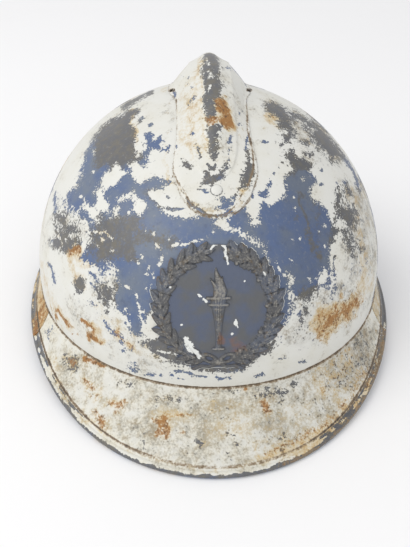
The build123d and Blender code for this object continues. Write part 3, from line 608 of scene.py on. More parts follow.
# warm brown rust, and yellow stains in the white coat
shellRust = [
    (0.55, 3, streak(5, 133, 114, 131, 126)),
    (0.5, 3, streak(4, 136, 132, 138, 141)),
    (1.0, 4, patch(70, 247, 82, 245, 86, 252, 80, 258, 70, 255)),
    (1.0, 4, streak(9, 82, 321, 90, 329, 97, 340)),
    (1.0, 3, streak(6, 55, 313, 63, 320, 70, 327)),
    (1.0, 2, dot(75, 336, 2.8)),
    (0.85, 4, streak(5, 116, 330, 124, 340, 134, 348)),
    (0.7, 8, patch(366, 280, 344, 290, 314, 312, 306, 342, 328, 344, 360, 318)),
    (0.7, 3, streak(3, 371, 262, 373, 280, 370, 302)),
    (0.8, 3, streak(3, 48, 302, 50, 314, 54, 326)),
    (0.7, 4, dot(272, 119, 4)),
    (0.55, 3, dot(314, 171, 3.5)),
    (0.6, 3, dot(321, 185, 3)),
    (0.92, 10, patch(364, 288, 345, 297, 326, 306, 314, 330, 330, 334, 352, 318, 367, 298)),
    (0.5, 4, streak(5, 362, 262, 366, 282, 368, 300)),
    (0.5, 3, streak(3, 341, 152, 352, 168, 361, 192)),
    (0.35, 5, streak(8, 130, 350, 145, 358, 160, 362)),
    (0.45, 3, streak(3, 49, 263, 53, 274, 56, 286)),
    (0.5, 2, dot(163, 92, 4)),
]
shellStain = [
    (0.75, 4, streak(5, 168, 146, 167, 164, 170, 180)),
    (0.5, 4, streak(4, 170, 100, 170, 128, 168, 146)),
    (0.7, 5, streak(8, 132, 112, 130, 126, 137, 141)),
    (0.6, 8, patch(66, 242, 88, 246, 100, 264, 86, 272, 70, 262)),
    (0.7, 5, patch(78, 318, 100, 322, 112, 340, 96, 346)),
    (0.5, 8, patch(92, 300, 120, 316, 140, 345, 160, 366, 120, 352, 96, 322)),
    (0.7, 5, dot(270, 120, 8)),
    (0.8, 9, patch(364, 286, 340, 298, 314, 306, 308, 330, 326, 340, 356, 318)),
    (0.45, 8, patch(354, 180, 372, 210, 376, 280, 360, 290, 352, 230)),
    (0.4, 6, patch(255, 100, 330, 128, 352, 170, 330, 160, 280, 112)),
    (0.5, 5, streak(7, 166, 150, 170, 178, 174, 190)),
    (0.4, 5, patch(90, 226, 118, 228, 118, 262, 98, 264)),
    (0.6, 6, streak(12, 40, 262, 50, 300, 70, 330)),
    (0.5, 4, streak(6, 160, 90, 172, 89)),
    (0.75, 6, streak(9, 60, 236, 72, 258, 82, 286)),
    (0.6, 5, dot(97, 305, 7)),
    (0.6, 6, streak(10, 332, 110, 356, 150, 368, 200)),
    (0.65, 7, streak(14, 350, 190, 362, 240, 366, 290)),
    (0.5, 5, streak(7, 116, 330, 140, 350, 160, 360)),
    (0.55, 5, streak(6, 262, 100, 290, 120, 318, 150)),
]
# grey film in the white coat; the two streaks along the comb's sides are painted shadow
shellGrimeAndShade = [
    (0.6, 5, streak(5, 169, 96, 169, 130, 167, 152)),
    (0.45, 4, streak(4, 252, 98, 252, 132, 256, 146)),
    (0.7, 10, patch(296, 282, 350, 282, 372, 300, 350, 330, 300, 350, 284, 345)),
    (0.75, 10, patch(340, 180, 372, 190, 378, 280, 345, 284)),
    (0.65, 9, patch(255, 98, 330, 124, 352, 170, 318, 166, 270, 118)),
    (0.55, 9, patch(52, 200, 70, 190, 92, 240, 66, 262, 46, 246)),
    (0.5, 6, patch(92, 252, 122, 256, 120, 306, 92, 300)),
    (0.45, 9, patch(60, 290, 100, 300, 150, 350, 200, 372, 140, 372, 80, 340)),
]

wornAway = {
    "patchSize": 0.030, "rustSize": 0.018, "level": 0.06, "steep": 1.6, "seenFrom": 0.0, "seenFull": 0.16,
    "flakeSize": 0.009, "flakeShare": 0.55, "drift": 6.0, "driftSize": 0.008, "edgeDrift": 0.3,
    "inside": {"bare": 1.0, "dark": 0.7, "rust": 0.75, "stain": 0.0, "grimeAndShade": 0.3},
}


def wander(spots):  # a few pixels of drift, so that no traced outline stays straight
    return np.column_stack([
        wornAway["drift"] * cloudNoise(spots, wornAway["driftSize"], 4, shift) for shift in (3.1, 9.4)])


def wearPiece(piece, marks, start=0.0, seam=0.0, inside=0.0, rubbed=0.0):
    # writes the wear into the mesh: traced where the photograph shows it, made up behind,
    # and without the white overpaint inside
    spots, normals = meshPoints(piece), meshNormals(piece)
    pixels, drift = onPhoto(spots), wander(spots)
    seen = smoothStep(facing(spots, normals), wornAway["seenFrom"], wornAway["seenFull"])
    away = cloudNoise(spots, wornAway["patchSize"])
    away += wornAway["flakeShare"] * cloudNoise(spots, wornAway["flakeSize"], 4, 4.4)
    other = cloudNoise(spots, wornAway["rustSize"], shift=7.3)
    made = {
        "bare": np.clip(0.5 + (away - wornAway["level"] - start) * wornAway["steep"], 0, 1),
        "dark": smoothStep(other, -0.25, 0.3),
        "rust": smoothStep(other * 0.6 + away * 0.5, 0.16, 0.42) * 0.8,
        "stain": smoothStep(other - away * 0.4, -0.05, 0.45) * 0.7,
        "grimeAndShade": smoothStep(away + other, -0.3, 0.6) * 0.5,
    }
    for name in made:
        if name == "bare":
            field = bareField(pixels + wornAway["edgeDrift"] * drift, marks[name])
            traced, cloud = np.clip(0.5 + field / tracing["range"], 0, 1), 1
        else:
            traced, cloud = softField(pixels + drift, marks.get(name, [])), smoothStep(other, -0.3, 0.5)
        values = traced * seen + made[name] * (1 - seen)
        if name in ("bare", "dark"):
            values = np.maximum(values, rubbed)
        writeLayer(piece, name, values * (1 - inside) + wornAway["inside"][name] * inside * cloud)
    writeLayer(piece, "seam", np.maximum(seam, softField(pixels, marks.get("seam", [])) * seen))


paintTones = {
    "white": (0.68, 0.678, 0.635), "whiteWarm": (0.62, 0.60, 0.51), "whiteGrey": (0.47, 0.465, 0.425),
    "dirt": (0.25, 0.20, 0.13), "dirtGrey": (0.19, 0.18, 0.16),
    "blue": (0.088, 0.132, 0.245), "blueWorn": (0.142, 0.172, 0.222), "blueDeep": (0.07, 0.095, 0.165),
    "dark": (0.112, 0.114, 0.120), "darkOlive": (0.145, 0.134, 0.110), "scuff": (0.29, 0.29, 0.285),
    "rust": (0.33, 0.160, 0.050), "rustPale": (0.56, 0.39, 0.17), "rustDark": (0.125, 0.066, 0.035),
    "stain": (0.57, 0.47, 0.295), "stainDeep": (0.42, 0.27, 0.12),
    "rightSideShade": (0.66, 0.68, 0.72), "tan": (1.0, 0.945, 0.80),
    "seam": (0.058, 0.046, 0.036), "seamPale": (0.26, 0.185, 0.105),
}
paintGrain = {
    "tiny": 0.00075, "fine": 0.0011, "middle": 0.0034, "mottle": 0.0048, "broad": 0.016,
    "raggedMiddle": 12.0, "raggedFine": 11.0, "edgeBlur": 0.35, "islandReach": 7.8,
    "chipLine": 0.70, "restLine": 0.70, "chipBlur": 0.006, "nearShare": 0.12, "grimeAndShadeShare": 0.15,
    "coatStep": 0.00022, "grainStep": 0.0002,
}


def paintedSteel(name, dirt=0.0):
    # white overpaint over blue and dark service paint, worn through, with rust and stains
    material, tree = newMaterial(name)
    g, tones = paintGrain, paintTones
    tiny = grain(tree, g["tiny"], 2.0, 0.5, shift=0.77)
    fine = grain(tree, g["fine"], 3.0, 0.6)
    middle = grain(tree, g["middle"], 4.0, 0.62, shift=0.13)
    mottle = grain(tree, g["mottle"], 7.0, 0.74, shift=0.59)
    broad = grain(tree, g["broad"], 4.0, 0.55, shift=0.41)
    grimeAndShade, rust, stain = (painted(tree, layer) for layer in ("grimeAndShade", "rust", "stain"))
    # edge of the white coat, in pixels of the tracing, made ragged
    away = centred(tree, painted(tree, "bare"), tracing["range"])
    edge = plus(tree, away, centred(tree, middle, g["raggedMiddle"]), centred(tree, fine, g["raggedFine"]))
    bare = ramp(tree, edge, -g["edgeBlur"], g["edgeBlur"])
    # chips in the white coat and rests of it on bare paint, thicker near the edge
    near = ramp(tree, compute(tree, "ABSOLUTE", away), 1.0, g["islandReach"], g["nearShare"], 0.0)
    chips = plus(tree, mixed(tree, (fine, 0.55), (middle, 0.45)), near, times(tree, grimeAndShade, g["grimeAndShadeShare"]))
    chips = ramp(tree, chips, g["chipLine"] - g["chipBlur"], g["chipLine"] + g["chipBlur"])
    rests = plus(tree, mixed(tree, (tiny, 0.55), (middle, 0.25), (broad, 0.2)), near)
    rests = ramp(tree, rests, g["restLine"] - g["chipBlur"], g["restLine"] + g["chipBlur"])
    bare = compute(tree, "MAXIMUM", bare, times(tree, chips, 0.92))
    bare = compute(tree, "SUBTRACT", bare, rests, clamp=True)
    # undercoats
    blue = coat(tree, tones["blue"], tones["blueWorn"], broad, 0.36, 0.66)
    blue = coat(tree, blue, tones["blueDeep"], mottle, 0.52, 0.7, 0.55)
    dark = coat(tree, tones["dark"], tones["darkOlive"], mottle, 0.44, 0.62)
    darkLevel = plus(tree, painted(tree, "dark"), centred(tree, middle, 1.1), centred(tree, fine, 1.2))
    under = coat(tree, blue, dark, darkLevel, 0.25, 0.8)
    scratch = grain(tree, 0.0016, 5.0, 0.7, (1, 1, 0.45), 0.3)
    under = coat(tree, under, tones["scuff"], scratch, 0.54, 0.74, 0.5)
    # painted shade: the blue and dark undercoats darken towards the helmet's right side (+X)
    across = tree.nodes.new("ShaderNodeSeparateXYZ")
    feed(tree, across.inputs[0], tree.nodes.new("ShaderNodeTexCoord").outputs["Object"])
    rightSideShade = ramp(tree, plus(tree, across.outputs["X"], centred(tree, broad, 0.05)), 0.0, 0.05, 0, 0.75)
    under = blend(tree, rightSideShade, under, tones["rightSideShade"], "MULTIPLY")
    # white coat, with warm and grey clouds, dirt and stains; the grey takes in painted shadow beside the
    # comb
    white = coat(tree, tones["white"], tones["whiteWarm"], broad, 0.42, 0.72, 0.5)
    dustAndShade = plus(tree, mixed(tree, (grimeAndShade, 0.35), (middle, 0.5)), 0.07 * dirt)
    white = coat(tree, white, tones["whiteGrey"], dustAndShade, 0.30, 0.80, 0.8)
    soilAndShade = plus(tree, mixed(tree, (mottle, 0.6), (fine, 0.4), (grimeAndShade, 0.20)),
                centred(tree, broad, 0.45), 0.04 * dirt)
    soilTone = coat(tree, tones["dirt"], tones["dirtGrey"], middle, 0.42, 0.6)
    white = coat(tree, white, soilTone, soilAndShade, 0.56, 0.80, 0.85)
    halo = times(tree, ramp(tree, edge, -5.0, 0.0), ramp(tree, broad, 0.44, 0.60, 0.02, 0.20))
    stained = plus(tree, mixed(tree, (stain, 0.5), (fine, 0.4), (mottle, 0.7), (rust, 0.15)), halo)
    deepLevel = plus(tree, times(tree, stain, 0.5), mottle)
    stainTone = coat(tree, tones["stain"], tones["stainDeep"], deepLevel, 0.78, 1.02, 0.8)
    white = coat(tree, white, stainTone, stained, 0.72, 1.06)
    tanned = ramp(tree, mixed(tree, (mottle, 0.6), (broad, 0.4)), 0.40, 0.56, 0.2, 1.0)
    white = blend(tree, times(tree, tanned, 0.48 * dirt), white, tones["tan"], "MULTIPLY")
    colour = blend(tree, bare, white, under)
    # rust breaks through both; dirt and painted shade sit in the seams
    rusty = ramp(tree, mixed(tree, (rust, 0.5), (mottle, 0.7), (fine, 0.55)), 0.88, 1.12, 0, 0.95)
    rustTone = coat(tree, tones["rustPale"], tones["rust"], rusty, 0.2, 0.8)
    rustSpots = mixed(tree, (fine, 0.5), (middle, 0.5))
    rustTone = coat(tree, rustTone, tones["rustDark"], rustSpots, 0.50, 0.62, 0.85)
    colour = blend(tree, rusty, colour, rustTone)
    seam = plus(tree, painted(tree, "seam"), centred(tree, middle, 0.9), centred(tree, fine, 0.6))
    seamTone = coat(tree, tones["seamPale"], tones["seam"], seam, 0.5, 1.0)
    colour = coat(tree, colour, seamTone, seam, 0.40, 0.70)
    rough = plus(tree, ramp(tree, bare, 0, 1, 0.55, 0.42), times(tree, rusty, 0.35),
                 centred(tree, broad, 0.2))
    relief = bump(tree, compute(tree, "SUBTRACT", 1.0, bare), g["coatStep"], 0.9)
    relief = bump(tree, mixed(tree, (fine, 0.6), (middle, 0.9), (rusty, 0.4)), g["grainStep"], 0.4, relief)
    finishMaterial(tree, colour, rough, relief)
    return material


# shape of the bowl


def jointHeight(x):
    radius = (bowl["halfWidth"] ** 2 + bowl["sideDip"] ** 2) / (2 * bowl["sideDip"])
    return bowl["jointLevel"] - radius + np.sqrt(radius ** 2 - x ** 2)


def domeHeight(x, y, grow=0.0):  # level of the bowl's outside; y is measured from the bowl's axis
    inside = 1 - (x / (bowl["halfWidth"] + grow)) ** 2 - (y / (bowl["halfLength"] + grow)) ** 2
    return bowl["widestLevel"] + (bowl["rise"] + grow) * np.sqrt(np.maximum(inside, 0))


def ontoBowl(spots, grow=0.0):  # moves points along rays from the bowl's centre onto its outside
    return bowlMiddle + unit((spots - bowlMiddle) / (bowlAxes + grow)) * (bowlAxes + grow)


# comb


comb = {
    "front": 0.078, "rear": 0.098, "halfWidth": 0.023, "height": 0.0168, "lip": 0.0012,
    "step": 0.0011, "ridgeHalf": 0.0046, "ridgeRound": 0.0019, "flange": 0.0019,
    "rows": 230, "ventRadius": 0.0017, "ventBack": 0.011, "softening": 2,
    # one side, from the front tip to the rear: shares of the half width and of front or rear
    "outlineShares": (
        (0, -1), (0.40, -0.976), (0.70, -0.892), (0.875, -0.77), (0.905, -0.69), (0.862, -0.572),
        (0.822, -0.46), (0.818, -0.18), (0.855, -0.015), (0.985, 0.10), (1.0, 0.20),
        (0.985, 0.30), (0.855, 0.42), (0.818, 0.55), (0.86, 0.675), (0.905, 0.775),
        (0.85, 0.87), (0.65, 0.945), (0.35, 0.99), (0, 1)),
    # place along the comb, then shares of foot, step, shoulder and ridge
    "bodyShares": (
        (-1.0, 0.745, 0.02, 0.0, 0.0), (-0.88, 0.745, 0.05, 0.01, 0.01),
        (-0.82, 0.745, 0.10, 0.02, 0.02), (-0.79, 0.78, 0.24, 0.05, 0.09),
        (-0.735, 0.825, 0.38, 0.085, 0.18), (-0.65, 0.835, 0.475, 0.12, 0.36),
        (-0.54, 0.785, 0.505, 0.165, 0.52), (-0.42, 0.762, 0.505, 0.24, 0.645),
        (-0.19, 0.765, 0.505, 0.415, 0.80), (0.0, 0.80, 0.505, 0.55, 0.915),
        (0.115, 0.925, 0.505, 0.64, 0.975), (0.275, 0.93, 0.505, 0.65, 1.0),
        (0.41, 0.80, 0.505, 0.565, 0.95), (0.56, 0.765, 0.505, 0.385, 0.82),
        (0.69, 0.79, 0.49, 0.21, 0.56), (0.785, 0.83, 0.40, 0.095, 0.24),
        (0.84, 0.78, 0.24, 0.05, 0.09), (0.87, 0.74, 0.10, 0.02, 0.02),
        (0.93, 0.74, 0.05, 0.01, 0.01), (1.0, 0.74, 0.02, 0.0, 0.0)),
}


def spread(first, second, count, sag=0.0):  # evenly spaced points, the first one included
    share = np.arange(count) / count
    line = np.outer(1 - share, first) + np.outer(share, second)
    line[:, 1] += sag * np.sin(math.pi * share)
    return line


def combSection(y, wide, foot, stepOut, shoulder, ridge):
    gap, sheet = bowl["seatGap"], bowl["sheet"]
    top = gap + sheet
    foot = max(min(foot, wide - comb["flange"]), 0)
    rise = smoothStep(wide, comb["flange"], 2.5 * comb["flange"])
    stepOut = min(stepOut, 0.9 * foot)
    ridgeHalf = min(comb["ridgeHalf"], stepOut / 2)
    step = min(comb["step"], max(ridge - shoulder, 0))
    fall = min(comb["ridgeRound"], max(ridge - shoulder - step, 0) / 2)
    lip = top + (comb["lip"] - top) * rise
    shoulder, ridge = max(shoulder, 1.15 * lip), max(ridge, 1.2 * lip)
    stepTop = (stepOut - min(comb["step"], stepOut / 2) / 2, min(shoulder + step, ridge - fall))
    crown = np.linspace(0, 1, 9)[:-1]
    body = np.vstack((
        np.column_stack((ridgeHalf * crown, ridge - fall * crown ** 2)),
        spread((ridgeHalf, ridge - fall), stepTop, 12, -0.05 * max(ridge - shoulder, 0)),
        spread(stepTop, (stepOut, shoulder), 3),
        spread((stepOut, shoulder), (foot, lip), 12, 0.03 * max(shoulder - lip, 0)),
        ((foot, lip),)))
    edge = np.array((
        (foot + 0.12 * (wide - foot), top), (foot + 0.5 * (wide - foot), top),
        (wide - 0.35 * min(sheet, wide), top), (wide, top - 0.4 * sheet), (wide, gap)))
    footIn = max(foot - sheet, 0)
    inner = body[::3] - (0, sheet)
    inner = np.column_stack((np.minimum(inner[:, 0], footIn), np.maximum(inner[:, 1], gap)))
    inner = np.vstack((inner, (footIn, gap)))
    outer = np.vstack((body, edge))
    loop = np.vstack((outer, inner[::-1], inner[1:] * (-1, 1), outer[:0:-1] * (-1, 1)))
    level = domeHeight(loop[:, 0], y) + loop[:, 1]
    return np.column_stack((loop[:, 0], np.full(len(loop), y + centreY), level))


combWear = [
    lost(patch(203, 51.5, 207, 50, 212, 50, 217.5, 54, 219.5, 64.5, 219, 75, 221, 81, 221, 91, 219, 97,
         214.5, 101.5, 217, 106.5, 214.5, 117, 209.5, 123, 206, 119, 205, 111.5, 203, 98, 204, 87.5,
         202, 74, 203, 59)),
    kept(dot(208, 64, 1.2), patch(208.5, 71, 211.5, 72, 212.5, 77, 209, 78), streak(1.8, 211, 86, 208, 91),
         streak(1.4, 207, 58, 207, 61)),
    lost(patch(208, 125.5, 214, 124, 221, 125, 220, 132, 218, 139.5, 219, 148, 219.5, 156.5, 215, 162.5,
         212, 161, 209.5, 155, 208, 145, 207, 134), streak(3.4, 207.5, 165, 209.5, 169.5, 213.5, 169,
         215, 165), patch(205, 171.5, 209, 174, 213, 175.5, 217, 174, 219, 171, 223, 171.5, 224.5, 176.5,
         222, 182, 216, 183, 213, 188, 209, 183, 199, 183, 204, 179), dot(226.5, 167, 3.4), streak(2.2,
         230.5, 138, 230.5, 141), *dots(229.5, 149, 1.7, 229, 154, 1.4, 228.5, 159.5, 1.8), patch(181, 160,
         187.5, 161, 189, 165, 191.5, 168, 191, 171.5, 188, 170, 182.5, 165), streak(2, 196.5, 146,
         199, 151, 201, 158), patch(245.5, 155, 249, 152.5, 252.5, 165, 254, 174, 247.5, 187, 238.5, 192,
         235, 199.5, 229.5, 204.5, 226, 199.5, 231, 197, 236, 194.5, 240, 185.5, 241, 174, 244, 170,
         246, 161.5)),
    kept(streak(1.6, 249, 156, 250.5, 164)),
    lost(streak(2.6, 248.5, 136, 246.5, 142, 247, 152), streak(2, 173, 92, 175, 98), streak(1.8, 174.5, 139,
         177, 148), streak(3, 199, 188, 203, 189, 206, 193), streak(1.4, 204, 189, 205, 194),
         dot(216, 193, 1.8), streak(1.4, 218, 200, 222, 203), patch(222, 196, 228, 199, 236, 193, 236, 199,
         228, 208, 217, 212, 221, 206), streak(4, 189, 200, 194, 207, 200, 212, 208, 216, 220, 217,
         230, 212), streak(2, 181, 189, 187, 196), streak(1.2, 191, 99, 189, 103), dot(193.5, 97, 1.3),
         streak(1.6, 227, 68, 231, 69), *dots(188, 78, 1.0, 181.5, 75, 1.0, 190, 86, 1.1, 240, 125, 1.2,
         193, 134, 1.3, 241, 113, 1.0)),
]
combDark = [
    (1.0, 4, patch(196, 40, 224, 40, 226, 168, 200, 168)),
    (0.0, 3, patch(212, 78, 221, 80, 221, 95, 213, 96)),
    (0.7, 3, patch(195, 168, 232, 160, 232, 184, 196, 188)),
    (0.8, 3, patch(178, 156, 194, 158, 194, 174, 180, 172)),
    (1.0, 4, patch(240, 150, 258, 150, 258, 180, 236, 196)),
    (1.0, 4, streak(10, 180, 186, 195, 206, 215, 218)),
]
combRust = [
    (1.0, 3, patch(212, 95, 218, 93, 225, 97, 229.5, 105, 233, 115, 234, 126, 230, 133, 224.5, 133,
     219, 126, 213, 122, 214.5, 112)),
    (0.85, 3, patch(205, 116, 209, 114, 216, 117, 216, 124, 208, 125)),
    (0.6, 3, streak(4, 172, 150, 171, 160, 173, 170)),
    (0.6, 2, streak(3, 180, 186, 184, 194)),
    (0.5, 3, streak(2.5, 175, 108, 175, 124)),
    (0.55, 3, streak(4, 239, 196, 244, 189)),
    (0.4, 3, dot(187, 60, 2)),
    (0.4, 3, dot(178, 74, 2)),
]
combStain = [
    (0.75, 4, streak(6, 193, 80, 191, 100, 190, 130, 192, 158)),
    (0.8, 4, streak(5, 200, 60, 201, 90, 202, 120, 204, 156)),
    (0.55, 8, patch(176, 92, 204, 60, 206, 160, 178, 150)),
    (0.7, 4, streak(4, 172, 148, 171, 170, 178, 186)),
    (0.5, 4, streak(4, 241, 128, 240, 144)),
    (0.8, 5, patch(212, 92, 230, 98, 238, 128, 228, 138, 212, 118)),
    (0.55, 4, streak(4, 174, 96, 176, 124, 177, 140)),
    (0.6, 4, streak(4, 185, 192, 200, 212, 232, 210, 247, 186)),
]
combGrime = [
    (0.12, 8, patch(176, 92, 206, 56, 208, 160, 178, 150)),
    (0.3, 8, patch(220, 60, 250, 92, 250, 150, 222, 150)),
    (0.4, 5, streak(6, 183, 190, 200, 213, 235, 208, 249, 184)),
]
combMarks = {
    "bare": combWear, "dark": combDark, "rust": combRust, "stain": combStain, "grimeAndShade": combGrime,
    "seam": [
        # dark lines: painted shade in the vent mouths and painted shadow along the comb's sides, dirt along
        # its lower edge
        (1.0, 1.2, streak(3.4, 170.5, 90.5, 173.5, 90.2)), (1.0, 1.2, streak(3.4, 247.5, 90, 250.5, 90.2)),
        (0.75, 1.5, streak(2.2, 181, 186, 190, 202, 200, 213, 214, 217.5, 228, 213, 238, 203, 247, 186)),
        (0.85, 2, streak(2.8, 176, 100, 175.5, 130, 172, 150, 173, 172, 180, 186)),
        (0.85, 2, streak(2.6, 247, 100, 247.5, 130, 252, 148, 254, 168, 247, 186)),
    ],
}
combSeam = {"edge": 0.5, "edgeShare": 0.5, "foot": 1.95, "footWidth": 0.5, "footShare": 0.36}


def combPlan():  # half widths, shares along the comb from its front tip to the rear one, and places
    outline = np.array(comb["outlineShares"], float)
    mirrored = np.vstack((outline[1] * (-1, 1), outline, outline[-2] * (-1, 1)))
    knots = np.arange(len(mirrored)) - 1.0
    rows = np.linspace(0, len(outline) - 1, comb["rows"])
    wide = np.maximum(curveThrough(knots, mirrored[:, 0], rows), 0) * comb["halfWidth"]
    along = curveThrough(knots, mirrored[:, 1], rows)
    wide[[0, -1]] = 0
    return wide, along, along * np.where(along < 0, comb["front"], comb["rear"])


def combDistance(spots):  # millimetres inside the comb's outline, seen from above
    wide, _, y = combPlan()
    line = np.column_stack((np.hstack((wide, -wide[-2:0:-1])), np.hstack((y, y[-2:0:-1])))) * 1000
    plan = np.column_stack((spots[:, 0], spots[:, 1] - centreY)) * 1000
    return edgeDistance(plan, {"corners": line[::4]})


# painted shade in the gap under the comb's edge and at its flange fold, with brown dirt
def combSeams(spots):
    inside = combDistance(spots)
    edge = combSeam["edgeShare"] * (inside < combSeam["edge"])
    foot = combSeam["footShare"] * np.exp(-((inside - combSeam["foot"]) / combSeam["footWidth"]) ** 2)
    return np.maximum(edge, foot)


def makeComb():
    wide, along, y = combPlan()
    shares = np.array(comb["bodyShares"], float)
    body = [curveThrough(shares[:, 0], shares[:, k], along) for k in (1, 2, 3, 4)]
    sizes = (comb["halfWidth"], comb["halfWidth"], comb["height"], comb["height"])
    body = [line * size for line, size in zip(body, sizes)]
    sections = [combSection(y[i], wide[i], *(line[i] for line in body)) for i in range(len(wide))]
    crest = loftSections("crestComb", sections, caps=False)
    startEdit()
    bpy.ops.mesh.vertices_smooth(factor=0.5, repeat=comb["softening"])
    endEdit()
    clearSelection()
    side = comb["halfWidth"]
    level = float(domeHeight(side, comb["ventBack"])) + comb["ventRadius"] / 2
    bpy.ops.mesh.primitive_cylinder_add(
        vertices=24, radius=comb["ventRadius"], depth=3 * side,
        location=(0, centreY + comb["ventBack"], level), rotation=(0, math.pi / 2, 0))
    drill = bpy.context.object
    settle(drill)
    cutWith(crest, drill)
    smoothShade(crest, 50)
    wearPiece(crest, combMarks, 0.15, combSeams(meshPoints(crest)))
    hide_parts("crest_comb")
    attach(crest, "root")
    return crest


crest = makeComb()
setMaterial(crest, paintedSteel("wornPaintComb", 0.2))
print("comb", len(crest.data.polygons), "faces")

# shell


shellWork = {
    "ballLevel": 7, "archBlend": 0.016, "frontFacing": 0.10, "roundedFrom": 0.0004,
    "slotWidth": 0.013, "slotLength": 0.060, "slotBack": 0.010,
}

shellMarks = {
    "bare": shellWear, "dark": shellDark, "rust": shellRust, "stain": shellStain, "grimeAndShade": shellGrimeAndShade,
    # painted shade in the mouths of the vent holes
    "seam": [(1.0, 1.2, streak(3.6, 170.5, 90.5, 173.5, 90.2)),
             (1.0, 1.2, streak(3.6, 247.5, 90, 250.5, 90.2))],
}
shellSeam = {
    "jointFrom": 0.0001, "jointReach": 0.0009, "jointShare": 0.75, "combReach": 1.0, "combShare": 0.6,
    "combFrom": 0.2, "pressedAbove": 150, "pressedBlur": 15, "pressedShare": 0.7,
}


def shellSeams(spots):  # dirt and painted shade along the joint with the brim and round the comb
    k = shellSeam
    joint = 1 - smoothStep(spots[:, 2] - jointHeight(spots[:, 0]), k["jointFrom"], k["jointReach"])
    foot = 1 - smoothStep(np.abs(combDistance(spots)), k["combFrom"], k["combReach"])
    high = smoothStep(onPhoto(spots)[:, 1], k["pressedAbove"] - k["pressedBlur"],
                      k["pressedAbove"] + k["pressedBlur"])
    foot *= k["pressedShare"] + (1 - k["pressedShare"]) * high
    return np.maximum(k["jointShare"] * joint, k["combShare"] * foot * (spots[:, 2] > bowl["widestLevel"]))


def makeShell():
    clearSelection()
    bpy.ops.mesh.primitive_ico_sphere_add(
        subdivisions=shellWork["ballLevel"], radius=1, location=bowlMiddle, scale=bowlAxes)
    shell = bpy.context.object
    shell.name = "bowlShell"
    settle(shell)
    low = bowl["jointLevel"] - bowl["sideDip"]
    startEdit()
    bpy.ops.mesh.bisect(plane_co=(0, 0, low), plane_no=(0, 0, 1), clear_inner=True)
    endEdit()
    # lower rows rise to the arched joint
    spots = ontoBowl(meshPoints(shell))
    share = np.clip(1 - (spots[:, 2] - low) / shellWork["archBlend"], 0, 1)
    spots[:, 2] += (jointHeight(spots[:, 0]) - low) * share ** 2
    level = (spots[:, 2] - bowl["widestLevel"]) / bowl["rise"]
    ring = np.sqrt(np.maximum(1 - level ** 2, 0))
    turn = np.arctan2((spots[:, 1] - centreY) / bowl["halfLength"], spots[:, 0] / bowl["halfWidth"])
    spots[:, 0] = bowl["halfWidth"] * ring * np.cos(turn)
    spots[:, 1] = centreY + bowl["halfLength"] * ring * np.sin(turn)
    setPoints(shell, spots)
    # inner skin, a sheet thickness inside
    useOnly(shell)
    bpy.ops.object.duplicate()
    inner = bpy.context.object
    setPoints(inner, bowlMiddle + (meshPoints(inner) - bowlMiddle) * (bowlAxes - bowl["sheet"]) / bowlAxes)
    startEdit()
    bpy.ops.mesh.flip_normals()
    endEdit()
    # finer faces where the camera looks
    front = facing(meshPoints(shell), meshNormals(shell)) > shellWork["frontFacing"]
    useOnly(shell)
    for face in shell.data.polygons:
        face.select = all(front[corner] for corner in face.vertices)
    bpy.ops.object.mode_set(mode="EDIT")
    bpy.ops.mesh.select_mode(type="FACE")
    bpy.ops.mesh.subdivide(number_cuts=1)
    endEdit()
    spots = meshPoints(shell)
    high = spots[:, 2] > bowl["jointLevel"] + shellWork["roundedFrom"]
    spots[high] = ontoBowl(spots[high])
    setPoints(shell, spots)
    # the two skins become one sheet, closed along the lower edge
    joined([shell, inner], "bowlShell")
    startEdit()
    selectOpenEdges()
    bpy.ops.mesh.bridge_edge_loops()
    endEdit()
    # ventilation slot under the comb
    clearSelection()
    half = shellWork["slotWidth"] / 2
    back = shellWork["slotBack"] - shellWork["slotLength"] / 2 + half
    bpy.ops.mesh.primitive_cylinder_add(
        vertices=48, radius=half, depth=4 * half,
        location=(0, centreY + back, bowl["widestLevel"] + bowl["rise"]))
    cutter = bpy.context.object
    settle(cutter)
    spots = meshPoints(cutter)
    behind = spots[:, 1] > spots[:, 1].mean() + 1e-6
    spots[behind, 1] += shellWork["slotLength"] - shellWork["slotWidth"]
    setPoints(cutter, spots)
    cutWith(shell, cutter)
    smoothShade(shell, 40)
    outward = (meshPoints(shell) - bowlMiddle) * meshNormals(shell)
    wearPiece(shell, shellMarks, seam=shellSeams(meshPoints(shell)), inside=(outward.sum(axis=1) < 0) * 1.0)
    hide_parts("shell")
    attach(shell, "root")
    print("shell", len(shell.data.polygons), "faces")
    return shell


shell = makeShell()
shellPaint = paintedSteel("wornPaintShell")
setMaterial(shell, shellPaint)

# visor and neck guard


brim = {
    "beadRadius": 0.0019, "restFlat": 0.00015, "halfWidth": 0.1112, "frontReach": 0.1493,
    "rearReach": 0.135, "sideArch": 0.0061, "archStart": 25, "archFull": 75, "archFall": 95,
    "archEnd": 140, "flangeHeight": 0.005, "bendOut": 0.0015, "bendDrop": 0.00075,
    "beadStep": 0.001, "sagShare": 0.03, "seamAngle": 69.0, "seamGap": 0.25,
    "stationStep": 0.5, "flareRows": 34, "beadRows": 18,
    "dent": 0.00035, "dentSize": 0.028,
    "lapAngle": 6.5, "lapRoot": 5.0, "lapGap": 0.0004, "lapRelief": 0.0006,
    "lapRootDrop": -0.00015,
}


def beadHeight(angle):
    turn = abs((angle + 180) % 360 - 180)
    rise = smoothStep(turn, brim["archStart"], brim["archFull"])
    fall = smoothStep(turn, brim["archFall"], brim["archEnd"])
    return brim["beadRadius"] - brim["restFlat"] + brim["sideArch"] * rise * (1 - fall)


